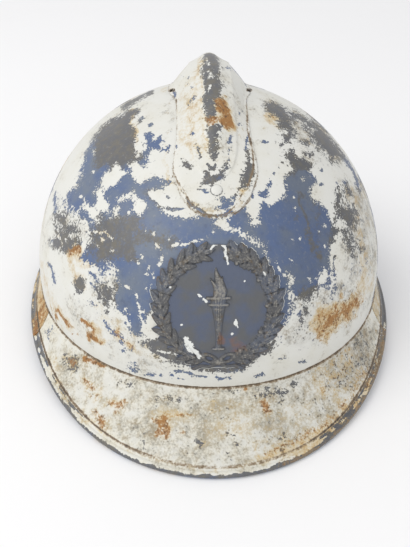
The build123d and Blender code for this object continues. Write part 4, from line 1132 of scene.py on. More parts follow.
def brimStation(angle):  # joint point, outward direction and reach at an angle from the front
    turn = math.radians(angle)
    reach = (brim["frontReach"] if math.cos(turn) > 0 else brim["rearReach"]) - brim["beadRadius"]
    half = brim["halfWidth"] - brim["beadRadius"]
    x, y = half * math.sin(turn), -reach * math.cos(turn)
    outward = Vector((x / half ** 2, y / reach ** 2, 0)).normalized()
    wide, long = bowl["halfWidth"], bowl["halfLength"]
    a = (outward.x / wide) ** 2 + (outward.y / long) ** 2
    b = x * outward.x / wide ** 2 + y * outward.y / long ** 2
    c = (x / wide) ** 2 + (y / long) ** 2 - 1
    reachOut = (b - math.sqrt(b * b - a * c)) / a
    return Vector((x, y, 0)) - outward * reachOut, outward, reachOut


def arcThrough(first, middle, last, count):  # points along a round arc, both ends included
    a, b, c = (np.array(p, dtype=float) for p in (first, middle, last))
    twice = 2 * (a[0] * (b[1] - c[1]) + b[0] * (c[1] - a[1]) + c[0] * (a[1] - b[1]))
    squares = (a @ a, b @ b, c @ c)
    x = (squares[0] * (b[1] - c[1]) + squares[1] * (c[1] - a[1]) + squares[2] * (a[1] - b[1])) / twice
    y = (squares[0] * (c[0] - b[0]) + squares[1] * (a[0] - c[0]) + squares[2] * (b[0] - a[0])) / twice
    centre = np.array((x, y))
    angles = [math.atan2(*(p - centre)[::-1]) for p in (a, b, c)]
    turn = (angles[2] - angles[0]) % (2 * math.pi)
    if (angles[1] - angles[0]) % (2 * math.pi) > turn:
        turn -= 2 * math.pi
    steps = angles[0] + turn * np.linspace(0, 1, count)
    return centre + np.linalg.norm(a - centre) * np.column_stack((np.cos(steps), np.sin(steps)))


def brimProfile(angle):  # the section's corner points: distance out from the joint, level
    foot, outward, reachOut = brimStation(angle)
    top = float(jointHeight(foot.x))
    bead, sheet, gap = brim["beadRadius"], bowl["sheet"], bowl["seatGap"]
    centre = np.array((reachOut, beadHeight(angle)))
    outerFace = -sheet - gap
    bend = np.array((outerFace + brim["bendOut"], top - gap - brim["bendDrop"]))
    down = (centre - bend) / np.linalg.norm(centre - bend)
    up = np.array((-down[1], down[0]))
    creaseUp = bead - brim["beadStep"]
    crease = centre + up * creaseUp - down * math.sqrt(bead ** 2 - creaseUp ** 2)
    underUp = creaseUp - sheet
    under = centre + up * underUp - down * math.sqrt(bead ** 2 - underUp ** 2)
    sag = up * np.linalg.norm(crease - bend) * brim["sagShare"]
    points = {
        "flangeTop": np.array((outerFace, top + brim["flangeHeight"])),
        "flangeFoot": np.array((outerFace, top - gap)), "bend": bend,
        "flare": (bend + crease) / 2 - sag, "crease": crease, "beadSide": centre + down * bead,
        "under": under, "flareUnder": (bend + crease) / 2 - sag - up * sheet,
        "bendUnder": bend - up * sheet,
        "footUnder": np.array((outerFace - sheet, top - gap - brim["bendDrop"] / 2)),
        "flangeInner": np.array((outerFace - sheet, top + brim["flangeHeight"])),
    }
    return points, foot, outward, up


def alongBrim(line, foot, outward):  # from distance out and level into space
    return np.column_stack((foot.x + line[:, 0] * outward.x, foot.y + line[:, 0] * outward.y + centreY,
                            line[:, 1]))


def brimSection(angle):  # one closed section, finely divided
    p, foot, outward, up = brimProfile(angle)
    flare = arcThrough(p["bend"], p["flare"], p["crease"], brim["flareRows"])
    bead = arcThrough(p["crease"], p["beadSide"], p["under"], brim["beadRows"])
    under = arcThrough(p["under"], p["flareUnder"], p["bendUnder"], brim["flareRows"] // 2)
    bendIn = (p["flangeFoot"] + p["bend"]) / 2 + (p["flangeFoot"] - p["bendUnder"]) * 0.12
    line = np.array([p["flangeTop"], p["flangeFoot"], bendIn, *flare, *bead[1:-1], *under,
                     p["footUnder"], p["flangeInner"]])
    line[:, 1] = np.maximum(line[:, 1], 0)
    return alongBrim(line, foot, outward)


def onBrim(spots):  # place from the bowl's axis, the brim's reach there, shares of brim and bowl
    x, y = spots[:, 0], spots[:, 1] - centreY
    reach = np.where(y < 0, brim["frontReach"], brim["rearReach"])
    ofBowl = np.hypot(x / bowl["halfWidth"], y / bowl["halfLength"])
    return x, y, reach, np.hypot(x / brim["halfWidth"], y / reach), ofBowl


def dentBrim(piece):  # a pressed sheet is never quite even
    spots = meshPoints(piece)
    ofBrim, ofBowl = onBrim(spots)[3:]
    free = smoothStep(ofBowl, 1.02, 1.08) * (1 - smoothStep(ofBrim, 0.955, 0.985))
    spots[:, 2] += brim["dent"] * free * cloudNoise(spots, brim["dentSize"], 3, 3.1)
    spots[:, 2] = np.maximum(spots[:, 2], 0)
    setPoints(piece, spots)


visorWear = [
    lost(patch(63, 357, 71, 357, 76, 360, 76, 368, 73, 373, 70, 366, 66, 362), streak(2, 118, 383,
         121, 383), streak(2, 124, 383.5, 133, 384.5), streak(2.2, 255, 395, 268, 396, 276, 392, 286, 391),
         streak(1.5, 283, 435, 282, 450), streak(3, 198, 442, 204, 443), *dots(201, 445, 1.6,
         229, 434, 1.3, 234, 434.5, 1.8), streak(1.4, 143, 442, 146, 446), *dots(212, 411, 1.2,
         214, 402, 1.1, 188, 455, 1.2), streak(1.4, 236, 442, 239, 445), dot(228, 453, 1.1), streak(2.2,
         230, 388, 238, 390), *dots(268, 388, 1.6, 293, 385, 1.7, 281, 402, 1.2), streak(2.4, 164, 399,
         171, 398, 179, 399), dot(158, 399, 1.3), patch(48, 331, 51, 327, 50, 333, 47, 337)),
    # paint lost along the bead
    lost(streak(3, 60, 400, 66, 410, 72, 418), streak(2.6, 74, 420, 86, 431, 96, 440), streak(2.6, 99, 441,
         112, 450, 124, 457), streak(2.6, 131, 462, 150, 469, 170, 474), streak(2.8, 180, 475, 200, 477,
         230, 477), streak(3, 234, 476.5, 262, 474, 290, 465), streak(4, 290, 464, 320, 450, 346, 428),
         streak(4.5, 346, 428, 366, 402, 378, 376), streak(4.5, 378, 376, 384, 345, 384, 310, 379, 280)),
    kept(streak(1.6, 64, 403, 68, 408), streak(1.8, 92, 434, 97, 438), streak(1.6, 117, 451, 122, 454),
         streak(1.6, 156, 468, 163, 470)),
]
visorDark = [
    (0.85, 8, patch(50, 340, 180, 380, 250, 380, 300, 370, 320, 440, 250, 480, 120, 470, 40, 400)),
    (1.0, 6, patch(296, 480, 390, 400, 396, 270, 370, 270, 372, 380, 300, 440)),
    (1.0, 12, patch(290, 346, 384, 300, 384, 400, 300, 470, 256, 470, 266, 384)),
]
visorRust = [
    (0.62, 6, streak(14, 280, 464, 308, 453, 335, 437, 356, 412, 371, 384, 381, 350, 384, 318)),
    (0.66, 7, streak(16, 262, 452, 300, 440, 330, 422, 350, 398, 364, 370)),
    (0.55, 8, patch(300, 360, 330, 345, 352, 338, 362, 360, 345, 395, 318, 400)),
    (0.5, 3, streak(4, 62, 330, 84, 350, 110, 366, 140, 376, 180, 384)),
    (0.6, 3, streak(4, 250, 383, 290, 374, 325, 356, 350, 335)),
    (0.8, 4, patch(62, 356, 76, 358, 76, 368, 72, 374, 66, 364)),
    (1.0, 4, patch(80, 354, 97, 356, 110, 363, 100, 369, 84, 364)),
    (0.95, 5, patch(82, 378, 93, 380, 96, 388, 84, 388)),
    (0.85, 9, patch(85, 390, 96, 388, 101, 396, 94, 402, 86, 398)),
    (0.9, 10, patch(92, 405, 104, 412, 112, 430, 106, 436, 94, 424, 86, 412)),
    (0.95, 7, patch(108, 402, 124, 398, 126, 412, 114, 420)),
    (0.95, 9, patch(150, 424, 160, 410, 176, 408, 172, 420, 166, 432, 156, 438)),
    (1.0, 4, patch(152, 417, 168, 416, 170, 434, 164, 440, 154, 438)),
    (0.9, 4, streak(5, 176, 413, 190, 418)),
    (0.9, 3, dot(183, 435, 3)),
    (0.95, 2, dot(243, 385, 3.5)),
    (0.5, 4, streak(6, 165, 398, 185, 399)),
    (0.95, 5, patch(258, 398, 272, 402, 274, 414, 260, 417)),
    (0.5, 6, patch(276, 404, 300, 402, 304, 420, 286, 424)),
    (0.5, 3, streak(4, 217, 418, 218, 428)),
    (0.6, 8, patch(262, 452, 300, 436, 340, 412, 362, 388, 368, 396, 346, 424, 300, 452, 266, 464)),
    (0.45, 10, patch(318, 380, 350, 360, 366, 370, 346, 402, 322, 404)),
    (0.5, 5, streak(6, 345, 336, 356, 350, 362, 362)),
    (0.6, 5, streak(5, 370, 300, 372, 330, 370, 360)),
    (0.55, 3, streak(3, 366, 398, 372, 386)),
]
visorStain = [
    (0.5, 8, patch(42, 330, 60, 360, 66, 400, 46, 370)),
    (0.75, 4, streak(4, 46, 350, 56, 384, 76, 411, 102, 434, 138, 455, 170, 465)),
    (0.7, 4, streak(4, 170, 465, 210, 470, 252, 466, 292, 452)),
    (0.35, 8, patch(60, 352, 110, 364, 112, 384, 100, 404, 76, 396)),
    (0.35, 8, patch(84, 390, 126, 396, 128, 420, 112, 440, 86, 416)),
    (0.5, 8, patch(146, 404, 196, 402, 192, 424, 160, 442)),
    (0.7, 6, streak(16, 262, 460, 310, 444, 345, 420, 368, 386)),
    (0.4, 12, patch(256, 396, 310, 400, 330, 420, 280, 456, 240, 460)),
    (0.4, 12, patch(300, 372, 350, 340, 370, 370, 340, 420, 300, 430)),
    (0.5, 5, streak(6, 62, 322, 110, 362, 178, 382, 250, 380, 330, 346)),
    (0.5, 14, patch(196, 396, 262, 394, 268, 440, 200, 450)),
]
visorGrime = [
    (0.42, 12, patch(44, 330, 180, 384, 260, 380, 260, 474, 160, 470, 60, 400)),
    (0.6, 14, patch(250, 382, 330, 344, 366, 310, 384, 330, 366, 400, 300, 454, 250, 470)),
    (0.9, 9, patch(326, 352, 370, 316, 378, 372, 352, 396, 326, 392)),
]

guardWear = [
    lost(streak(2.4, 35, 318, 38, 328, 40, 338), streak(2, 33, 345, 38, 362, 46, 380), streak(1.6, 31, 275,
         30, 300, 32, 316), streak(1.6, 46, 320, 50, 328), streak(4, 377, 274, 383, 300, 385, 320)),
]
guardDark = [
    (1.0, 10, patch(20, 240, 60, 240, 60, 420, 20, 420)),
    (1.0, 10, patch(360, 240, 400, 240, 400, 420, 360, 420)),
]
guardRust = [
    (0.8, 5, patch(36, 296, 48, 290, 56, 306, 50, 330, 36, 330)),
    (1.0, 5, patch(32, 312, 42, 300, 46, 312, 42, 336, 32, 336)),
    (0.4, 4, streak(4, 37, 262, 35, 290)),
    (0.6, 5, patch(368, 280, 376, 284, 378, 340, 370, 340)),
]
guardStain = [
    (0.8, 8, patch(28, 246, 50, 262, 60, 320, 36, 350, 26, 310)),
    (0.6, 8, patch(360, 270, 386, 276, 386, 350, 366, 350)),
]
guardGrime = [
    (0.2, 8, patch(28, 246, 50, 262, 60, 320, 36, 380, 26, 310)),
    (0.7, 8, patch(360, 270, 386, 276, 386, 350, 366, 350)),
]

visorMarks = {
    "bare": visorWear, "dark": visorDark, "rust": visorRust, "stain": visorStain, "grimeAndShade": visorGrime,
    "seam": [(0.72, 7, streak(8, 290, 463, 328, 445, 355, 417, 373, 388, 382, 352, 384, 318))],
}
guardMarks = {
    "bare": guardWear, "dark": guardDark, "rust": guardRust, "stain": guardStain, "grimeAndShade": guardGrime,
}
brimSeam = {
    "creaseInside": 0.0041, "creaseWidth": 0.00075, "creaseShare": 0.9, "jointFrom": 0.0004,
    "jointReach": 0.0011, "jointShare": 0.75, "rubFrom": 0.16, "rubFull": 0.72, "rubWidth": 0.0046,
    "rubShare": 0.82, "rubNoise": 0.6,
}


def brimSeams(spots):  # dirt along the joint with the bowl, with painted shade under the bowl's edge, and dirt in the crease of the bead
    k = brimSeam
    x, y, reach, ofBrim, ofBowl = onBrim(spots)
    away = ((1 - ofBrim) * np.hypot(x, y) - k["creaseInside"]) / k["creaseWidth"]
    joint = 1 - smoothStep((ofBowl - 1) * np.hypot(x, y), k["jointFrom"], k["jointReach"])
    return np.maximum(k["creaseShare"] * np.exp(-away ** 2), k["jointShare"] * joint)


def brimRubbed(piece):  # the white is gone from the outer side of the rolled bead
    k, spots = brimSeam, meshPoints(piece)
    x, y, reach, ofBrim, ofBowl = onBrim(spots)
    outward = unit(np.column_stack((x / brim["halfWidth"] ** 2, y / reach ** 2)))
    facingOut = (meshNormals(piece)[:, :2] * outward).sum(axis=1) + k["rubNoise"] * (
        cloudNoise(spots, 0.022, 4, 2.2) + 0.8 * cloudNoise(spots, 0.0045, 3, 6.1))
    near = 1 - smoothStep((1 - ofBrim) * np.hypot(x, y), k["rubWidth"] * 0.6, k["rubWidth"])
    return k["rubShare"] * near * smoothStep(facingOut, k["rubFrom"], k["rubFull"])


def wearBrim(piece, marks, start):
    smoothShade(piece, 40)
    inside = 1 - smoothStep(meshNormals(piece)[:, 2], -0.55, -0.25)
    wearPiece(piece, marks, start, brimSeams(meshPoints(piece)), inside, brimRubbed(piece))


def makeVisor():
    seam = brim["seamAngle"]
    count = int(2 * seam / brim["stationStep"]) + 1
    visor = loftSections("frontVisor", [brimSection(angle) for angle in np.linspace(-seam, seam, count)])
    dentBrim(visor)
    wearBrim(visor, visorMarks, 0.25)
    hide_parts("front_visor")
    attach(visor, "root")
    return visor


def lapSection(angle, drop):  # the part of the neck guard's end that lies under the visor
    p, foot, outward, up = brimProfile(angle)
    back = np.array((up[1], -up[0])) * brim["lapRelief"]
    top = arcThrough(p["under"] - back, p["flareUnder"], p["bendUnder"] + back, 18) - up * drop
    return alongBrim(np.vstack((top, (top - up * bowl["sheet"])[::-1])), foot, outward)


def makeNeckGuard():
    seam, root = brim["seamAngle"], brim["lapRootDrop"]
    start = seam + brim["seamGap"]
    count = int((360 - 2 * start) / (1.3 * brim["stationStep"])) + 1
    angles = np.linspace(start, 360 - start, count)
    guard = loftSections("neckGuard", [brimSection(angle) for angle in angles])
    dentBrim(guard)
    steps = ((start + brim["lapRoot"], root), (start + 2, root),
             (seam, brim["lapGap"]), (seam - brim["lapAngle"], brim["lapGap"]))
    tongues = [loftSections("lapTongue", [lapSection(side * angle, drop) for angle, drop in steps])
               for side in (1, -1)]
    guard = joined([guard, *tongues], "neckGuard")
    wearBrim(guard, guardMarks, 0.2)
    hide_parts("neck_guard")
    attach(guard, "root")
    return guard


visor = makeVisor()
neckGuard = makeNeckGuard()
brimPaint = paintedSteel("wornPaintBrim", 1.15)
setMaterial(visor, brimPaint)
setMaterial(neckGuard, brimPaint)
print("visor and neck guard", len(visor.data.polygons), len(neckGuard.data.polygons), "faces")

# badge


badge = {
    "radius": 0.0345, "level": 0.070, "tilt": 25.8, "plate": 0.0007, "relief": 0.0013,
    "turns": 400, "rings": 84, "backRings": 14, "plateRadius": 0.0305,
    "wreathRadius": 0.0272, "opening": 13, "leafRows": 14, "leafLength": 0.0092, "leafWidth": 0.0034,
    "splay": 33, "rootShare": 0.2, "stemWidth": 0.0013,
    "torchHeight": 0.040, "torchTop": 0.0085, "torchFoot": 0.0028, "flameHeight": 0.0145,
    "flameWidth": 0.0088, "bowLength": 0.0095, "bowWidth": 0.005, "bowTilt": 25,
    "bowTail": ((0, 0), (0.004, 0.0028), (0.0085, 0.0024), (0.0125, 0.0046)), "knotRadius": 0.0019,
    "flames": ((0.0, 1.0), (0.34, 0.72), (-0.34, 0.66)), "grainLift": 0.00006, "rimShare": 0.85,
}


def leafRelief(spots, x, y, angle, length, width, lobes):
    turn = math.radians(angle)
    a = (spots[:, 0] - x) * math.cos(turn) + (spots[:, 1] - y) * math.sin(turn)
    b = -(spots[:, 0] - x) * math.sin(turn) + (spots[:, 1] - y) * math.cos(turn)
    t = np.clip(a / length, 0, 1)
    half = width / 2 * np.sin(math.pi * t ** 0.85) ** 0.75 + 1e-6
    half = half * (1 + lobes * 0.2 * np.cos(2 * math.pi * 4.2 * t))
    inside = (a > 0) & (a < length) & (np.abs(b) < half)
    body = (1 - np.clip(np.abs(b) / half, 0, 1) ** 2) ** 0.55 * (0.62 + 0.38 * np.sin(math.pi * t))
    vein = 0.30 * np.exp(-(b / (0.06 * width)) ** 2)
    ribs = 0.10 * (0.5 + 0.5 * np.cos(2 * math.pi * (a - 0.8 * np.abs(b)) / (0.16 * length)))
    return np.where(inside, np.clip(body - vein - ribs, 0.12, 1), 0)


def ridgeRelief(spots, points, width, height):  # a raised round line through some points
    best = np.full(len(spots), np.inf)
    for start, end in zip(points, points[1:]):
        start, end = np.array(start), np.array(end)
        side = end - start
        share = np.clip(((spots - start) @ side) / (side @ side), 0, 1)
        best = np.minimum(best, np.linalg.norm(spots - start - share[:, None] * side, axis=1))
    return height * np.sqrt(np.clip(1 - (2 * best / width) ** 2, 0, 1))


def wreathRelief(spots):
    height = np.zeros(len(spots))
    span = 180 - 2 * badge["opening"]
    radius = badge["wreathRadius"]
    for side in (1, -1):
        lobes = 1 if side > 0 else 0
        stem = []
        for i in range(badge["leafRows"]):
            turn = -90 + side * (badge["opening"] + span * (i + badge["rootShare"]) / badge["leafRows"])
            x, y = radius * math.cos(math.radians(turn)), radius * math.sin(math.radians(turn))
            stem.append((x, y))
            along = turn + side * 90
            wobble = 6 * math.sin(2.3 * i + side)
            size = 1 + 0.06 * math.cos(1.7 * i)
            for splay, share in ((-badge["splay"], 1.0), (badge["splay"], 0.94), (0, 0.8)):
                shift = 0.28 * badge["leafLength"] if splay == 0 else 0
                ahead = math.radians(along)
                height = np.maximum(height, leafRelief(
                    spots, x + shift * math.cos(ahead), y + shift * math.sin(ahead),
                    along + side * splay + wobble, badge["leafLength"] * share * size,
                    badge["leafWidth"] * share * (1.12 if lobes else 1.0), lobes) * (0.86 if splay else 1))
            if lobes and i % 3 == 1:  # acorns between the leaves
                nut = np.hypot(spots[:, 0] - x * 0.86, spots[:, 1] - y * 0.86) / (0.32 * badge["leafWidth"])
                height = np.maximum(height, np.sqrt(np.clip(1 - nut ** 2, 0, 1)))
        height = np.maximum(height, ridgeRelief(spots, stem, badge["stemWidth"], 0.55))
    return height


def bowRelief(spots):
    height = np.zeros(len(spots))
    foot, tilt = -badge["wreathRadius"], math.radians(badge["bowTilt"])
    for side in (1, -1):
        x, y = side * spots[:, 0], spots[:, 1] - foot
        a = x * math.cos(tilt) + y * math.sin(tilt) - badge["bowLength"] / 2
        b = -x * math.sin(tilt) + y * math.cos(tilt)
        ring = np.hypot(a / (badge["bowLength"] / 2), b / (badge["bowWidth"] / 2))
        height = np.maximum(height, 0.8 * np.clip(1 - ((ring - 0.72) / 0.34) ** 2, 0, 1) ** 0.6)
        tail = [(side * out, foot - drop) for out, drop in badge["bowTail"]]
        height = np.maximum(height, ridgeRelief(spots, tail, 0.0022, 0.6))
    knot = np.hypot(spots[:, 0], spots[:, 1] - foot) / badge["knotRadius"]
    return np.maximum(height, np.sqrt(np.clip(1 - knot ** 2, 0, 1)))


def torchRelief(spots):
    x, y = spots[:, 0], spots[:, 1]
    low, wide, tall = -badge["torchHeight"] / 2, badge["flameWidth"], badge["flameHeight"]
    cup = low + badge["torchHeight"] - tall
    share = np.clip((y - low) / (cup - low), 0, 1)
    half = (badge["torchFoot"] + (badge["torchTop"] - badge["torchFoot"]) * share ** 2.2) / 2
    rounded = np.sqrt(np.clip(1 - (x / half) ** 2, 0, 1))
    flutes = 0.12 * np.cos(6 * math.pi * x / half)
    bands = 0.18 * (np.cos(2 * math.pi * share * 5) > 0.82)
    handle = np.clip(0.75 * rounded + flutes * rounded + bands * rounded, 0, 1)
    height = np.where((y > low) & (y < cup), handle, 0)
    rims = ((cup, badge["torchTop"] * 0.62), (cup - 0.0032, badge["torchTop"] * 0.5), (low, 0.0024))
    for level, reach in rims:
        height = np.maximum(height, ridgeRelief(spots, [(-reach, level), (reach, level)], 0.0016, 0.95))
    for lean, size in badge["flames"]:
        t = np.clip((y - cup) / (tall * size), 0, 1)
        sway = lean * wide * (0.35 + 0.6 * t) + 0.12 * wide * np.sin(5 * t + 2 * lean)
        taper = np.sin(math.pi * np.clip(t * 0.92 + 0.08, 0, 1)) ** 0.8 * (1 - 0.55 * t)
        body = np.sqrt(np.clip(1 - ((x - sway) / (wide * 0.36 * size * taper + 1e-6)) ** 2, 0, 1))
        height = np.maximum(height, 0.9 * np.where((y > cup) & (t < 1), body, 0))
    return height


def badgeRelief(spots):
    return np.maximum.reduce((wreathRelief(spots), bowRelief(spots), torchRelief(spots)))


def ontoBadge(spots, lift):  # from the badge's flat drawing onto the bowl, lift above its outside
    lean = math.radians(badge["tilt"])
    depth = math.sqrt(1 - ((badge["level"] - bowl["widestLevel"]) / bowl["rise"]) ** 2)
    origin = np.array((0, -bowl["halfLength"] * depth, badge["level"]))
    outward = np.array((0, -math.cos(lean), math.sin(lean)))
    upward = np.array((0, math.sin(lean), math.cos(lean)))
    start = origin + spots[:, :1] * np.array((1, 0, 0)) + spots[:, 1:2] * upward
    axes = bowlAxes + lift[:, None]
    p, d = (start - (0, 0, bowl["widestLevel"])) / axes, outward / axes
    a, b, c = (d * d).sum(axis=1), (p * d).sum(axis=1), (p * p).sum(axis=1) - 1
    travel = (-b + np.sqrt(b * b - a * c)) / a
    return start + travel[:, None] * outward + (0, centreY, 0)


badgeWear = [
    lost(patch(120, 210, 310, 210, 320, 390, 120, 390)),
    kept(streak(2.6, 211, 249, 215, 245, 220, 243.5, 224, 245, 226, 248.5, 225.5, 254), streak(2.4,
         225.5, 254, 227, 260, 228, 264), streak(1.8, 199, 294, 202, 295.5), streak(2.2, 204, 298,
         206.5, 301), patch(184, 338, 188, 338, 190, 341, 193, 343, 194, 347, 198, 350, 202, 357, 200, 359,
         196, 354, 193, 352, 188, 349, 186, 345, 184, 344), dot(236, 323, 2.0), streak(1.6, 235, 320,
         238, 327), *dots(232.5, 334, 1.4, 245.5, 280, 1.2), streak(1.4, 263, 272, 265, 275), streak(1.6,
         279, 262, 281, 271), streak(1.6, 288, 277, 290, 290), streak(1.6, 262, 252, 259, 246),
         dot(200, 295, 1.2), streak(1.6, 178, 243, 184, 242, 194, 240), *dots(206, 300, 1.2,
         171, 288, 1.0, 181, 325, 1.0, 160, 262, 1.4)),
]
badgeRust = [
    (0.6, 4, patch(226, 338, 240, 334, 250, 342, 240, 352, 228, 350)),
    (0.7, 3, dot(219, 338, 5)),
    (0.35, 4, dot(262, 300, 6)),
    (0.35, 4, dot(245, 346, 5)),
]


def makeBadge():
    clearSelection()
    turns, rings, back, gap = badge["turns"], badge["rings"], badge["backRings"], bowl["seatGap"]
    bpy.ops.mesh.primitive_grid_add(x_subdivisions=turns, y_subdivisions=rings + back, size=1)
    plate = bpy.context.object
    plate.name = "frontBadge"
    spots = meshPoints(plate)
    turn = 2 * math.pi * (spots[:, 0] + 0.5)
    row = np.rint((spots[:, 1] + 0.5) * (rings + back)).astype(int)
    # ragged outline: the plate's edge runs out to the tips of the leaves
    rim = np.linspace(0, 2 * math.pi, turns + 1)
    reach = np.full(turns + 1, badge["plateRadius"])
    for radius in np.linspace(badge["plateRadius"], badge["radius"], 24):
        edge = np.column_stack((radius * np.cos(rim), radius * np.sin(rim)))
        reach = np.where(badgeRelief(edge) > 0.05, radius, reach)
    reach = np.maximum(reach, (np.roll(reach, 1) + np.roll(reach, -1)) / 2)
    share = np.where(row <= rings, row / rings, (rings + back - row) / back)
    flat = np.column_stack((np.cos(turn), np.sin(turn))) * (np.interp(turn, rim, reach) * share)[:, None]
    relief = badgeRelief(flat)
    lift = gap + badge["plate"] + badge["relief"] * relief
    lift += badge["grainLift"] * cloudNoise(np.column_stack((flat, flat[:, 0])), 0.002, 3)
    lift = np.where(row > rings, gap, lift)
    atRim = (row == rings) | (row == rings - 1)
    lift = np.where(atRim, np.minimum(lift, gap + badge["plate"] * badge["rimShare"]), lift)
    setPoints(plate, ontoBadge(flat, lift))
    writeLayer(plate, "relief", np.where(row > rings, 0, relief))
    weld(1e-7)
    smoothShade(plate, 60)
    wearPiece(plate, {"bare": badgeWear, "rust": badgeRust})
    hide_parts("front_badge")
    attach(plate, "root")
    return plate


badgeTones = {
    "field": (0.082, 0.100, 0.148), "fieldGrey": (0.098, 0.102, 0.108), "leaf": (0.082, 0.083, 0.086),
    "leafBlue": (0.092, 0.108, 0.142), "leafRubbedAndHighlight": (0.27, 0.255, 0.225), "hollow": (0.042, 0.042, 0.045),
    "rust": (0.21, 0.10, 0.05), "brown": (0.13, 0.098, 0.062),
    "white": (0.72, 0.73, 0.70),
}


def badgePaint():  # dark worn service paint, with rests of white in the hollows
    material, tree = newMaterial("badgeWorn")
    tones = badgeTones
    fine, middle = grain(tree, 0.0009, 3.0, 0.6), grain(tree, 0.0028, 4.0, 0.6, shift=0.2)
    broad, relief = grain(tree, 0.011, 3.0, 0.5, shift=0.6), painted(tree, "relief")
    field = coat(tree, tones["field"], tones["fieldGrey"], broad, 0.38, 0.62)
    leaf = coat(tree, tones["leaf"], tones["leafBlue"], broad, 0.45, 0.62, 0.8)
    leaf = coat(tree, leaf, tones["brown"], middle, 0.54, 0.68, 0.7)
    colour = coat(tree, field, leaf, relief, 0.02, 0.2)
    # lighter on the raised leaves: rubbed paint and a painted highlight
    worn = mixed(tree, (relief, 0.58), (fine, 0.7))
    colour = coat(tree, colour, tones["leafRubbedAndHighlight"], worn, 0.70, 0.96, 0.85)
    # darker along the leaf outlines: dirt and painted shade
    hollow = compute(tree, "ABSOLUTE", compute(tree, "SUBTRACT", relief, 0.22))
    colour = blend(tree, ramp(tree, hollow, 0.0, 0.2, 0.75, 0.0), colour, tones["hollow"])
    rusty = mixed(tree, (painted(tree, "rust"), 0.7), (middle, 0.6))
    colour = coat(tree, colour, tones["rust"], rusty, 0.5, 0.95, 0.8)
    edge = plus(tree, centred(tree, painted(tree, "bare"), tracing["range"]),
                centred(tree, middle, 6.0), centred(tree, fine, 5.0))
    colour = coat(tree, tones["white"], colour, edge, -0.3, 0.3)
    relief = bump(tree, plus(tree, fine, middle), 0.00012, 0.5)
    finishMaterial(tree, colour, ramp(tree, middle, 0.3, 0.7, 0.38, 0.6), relief)
    return material


badgePlate = makeBadge()
setMaterial(badgePlate, badgePaint())
print("badge", len(badgePlate.data.polygons), "faces")

# leather liner, its stitching, the felt band and the lace


leather = {
    "outside": 0.0092, "thickness": 0.0016, "low": 0.025, "turnLevel": 0.040, "rise": 0.0705,
    "tongues": 7, "gapLevel": 0.054, "gapCrown": 0.0094, "gapBase": 0.0026, "crownRadius": 0.020,
    "columns": 26, "bandRows": 8, "lowRows": 8, "tongueRows": 42, "gapEase": 0.004, "tipRound": 0.003,
    "slotRing": 0.026, "slotLength": 0.0082, "slotWidth": 0.0032, "sag": 0.0011, "sagSize": 0.03,
    "sagFrom": 0.034, "stitchLevel": 0.0282, "stitchPitch": 0.0042, "stitchRadius": 0.00034,
}
staple = {"level": 0.036, "width": 0.0043, "thickness": 0.001, "sideForward": 0.034, "reach": 0.03}
felt = {
    "outside": 0.0072, "thickness": 0.0018, "low": 0.0255, "high": 0.046, "steps": 360, "levels": 15,
    "fuzz": 0.00012, "fuzzSize": 0.004, "fuzzReach": 0.002,
}


def offsetAxes(inset):  # half width and half length of the bowl, less an inset
    return bowl["halfWidth"] - inset, bowl["halfLength"] - inset


def capRadius(turn, climb, inset):  # plan radius of an offset cap towards a turn from the front
    wide, long = offsetAxes(inset)
    return np.cos(climb) / np.sqrt((np.sin(turn) / wide) ** 2 + (np.cos(turn) / long) ** 2)


def shapeLeather(spots):  # from the flat grid into band and tongues
    n, count = leather["columns"], leather["tongues"]
    rows = leather["bandRows"] + leather["lowRows"] + leather["tongueRows"]
    column = np.rint((spots[:, 0] + 0.5) * count * (n + 1)).astype(int)
    row = np.rint((spots[:, 1] + 0.5) * rows).astype(int)
    tongue, across = column // (n + 1), (column % (n + 1)) / n
    sector = 2 * math.pi / count
    guess = sector * (tongue + across)
    gapClimb = math.asin((leather["gapLevel"] - leather["turnLevel"]) / leather["rise"])
    tip = leather["crownRadius"] + leather["tipRound"] * np.abs(2 * across - 1) ** 3
    topClimb = np.arccos(tip / capRadius(guess, 0, leather["outside"]))
    low = np.clip((row - leather["bandRows"]) / leather["lowRows"], 0, 1)
    high = np.clip((row - leather["bandRows"] - leather["lowRows"]) / leather["tongueRows"], 0, 1)
    climb = gapClimb * low + (topClimb - gapClimb) * high
    level = leather["turnLevel"] + leather["rise"] * np.sin(climb)
    band = np.clip(row / leather["bandRows"], 0, 1)
    level = np.where(row < leather["bandRows"],
                     leather["low"] + (leather["turnLevel"] - leather["low"]) * band, level)
    radius = capRadius(guess, climb, leather["outside"])
    share = radius / bowl["halfLength"]
    half = (leather["gapCrown"] * (1 - share) + leather["gapBase"] * share) / 2
    opened = np.sqrt(np.clip((level - leather["gapLevel"]) / leather["gapEase"], 0, 1))
    gap = np.arcsin(half / radius) * opened
    turn = sector * tongue + gap + (sector - 2 * gap) * across
    radius = capRadius(turn, climb, leather["outside"])
    edge = np.abs(2 * across - 1) ** 8 * (high > 0) + np.clip(high * 8 - 7, 0, 1)
    places = np.column_stack((radius * np.sin(turn), centreY - radius * np.cos(turn), level))
    return places, np.clip(edge, 0, 1)


def boxAt(place, size, turn):  # a cutter, turned about the upright
    clearSelection()
    bpy.ops.mesh.primitive_cube_add(size=1, location=place, scale=size, rotation=(0, 0, turn))
    cutter = bpy.context.object
    settle(cutter)
    return cutter


def stapleCutters():  # slots for the four staples
    side = math.acos(staple["sideForward"] / bowl["halfLength"])
    cutters = []
    for turn in (0, side, math.pi, -side):
        x, y = bowl["halfWidth"] * math.sin(turn), -bowl["halfLength"] * math.cos(turn)
        inward = math.atan2(-y / bowl["halfLength"] ** 2, -x / bowl["halfWidth"] ** 2)
        cutters.append(boxAt((x, y + centreY, staple["level"]),
                             (staple["reach"], staple["thickness"], staple["width"]), inward))
    return joined(cutters, "stapleSlots")


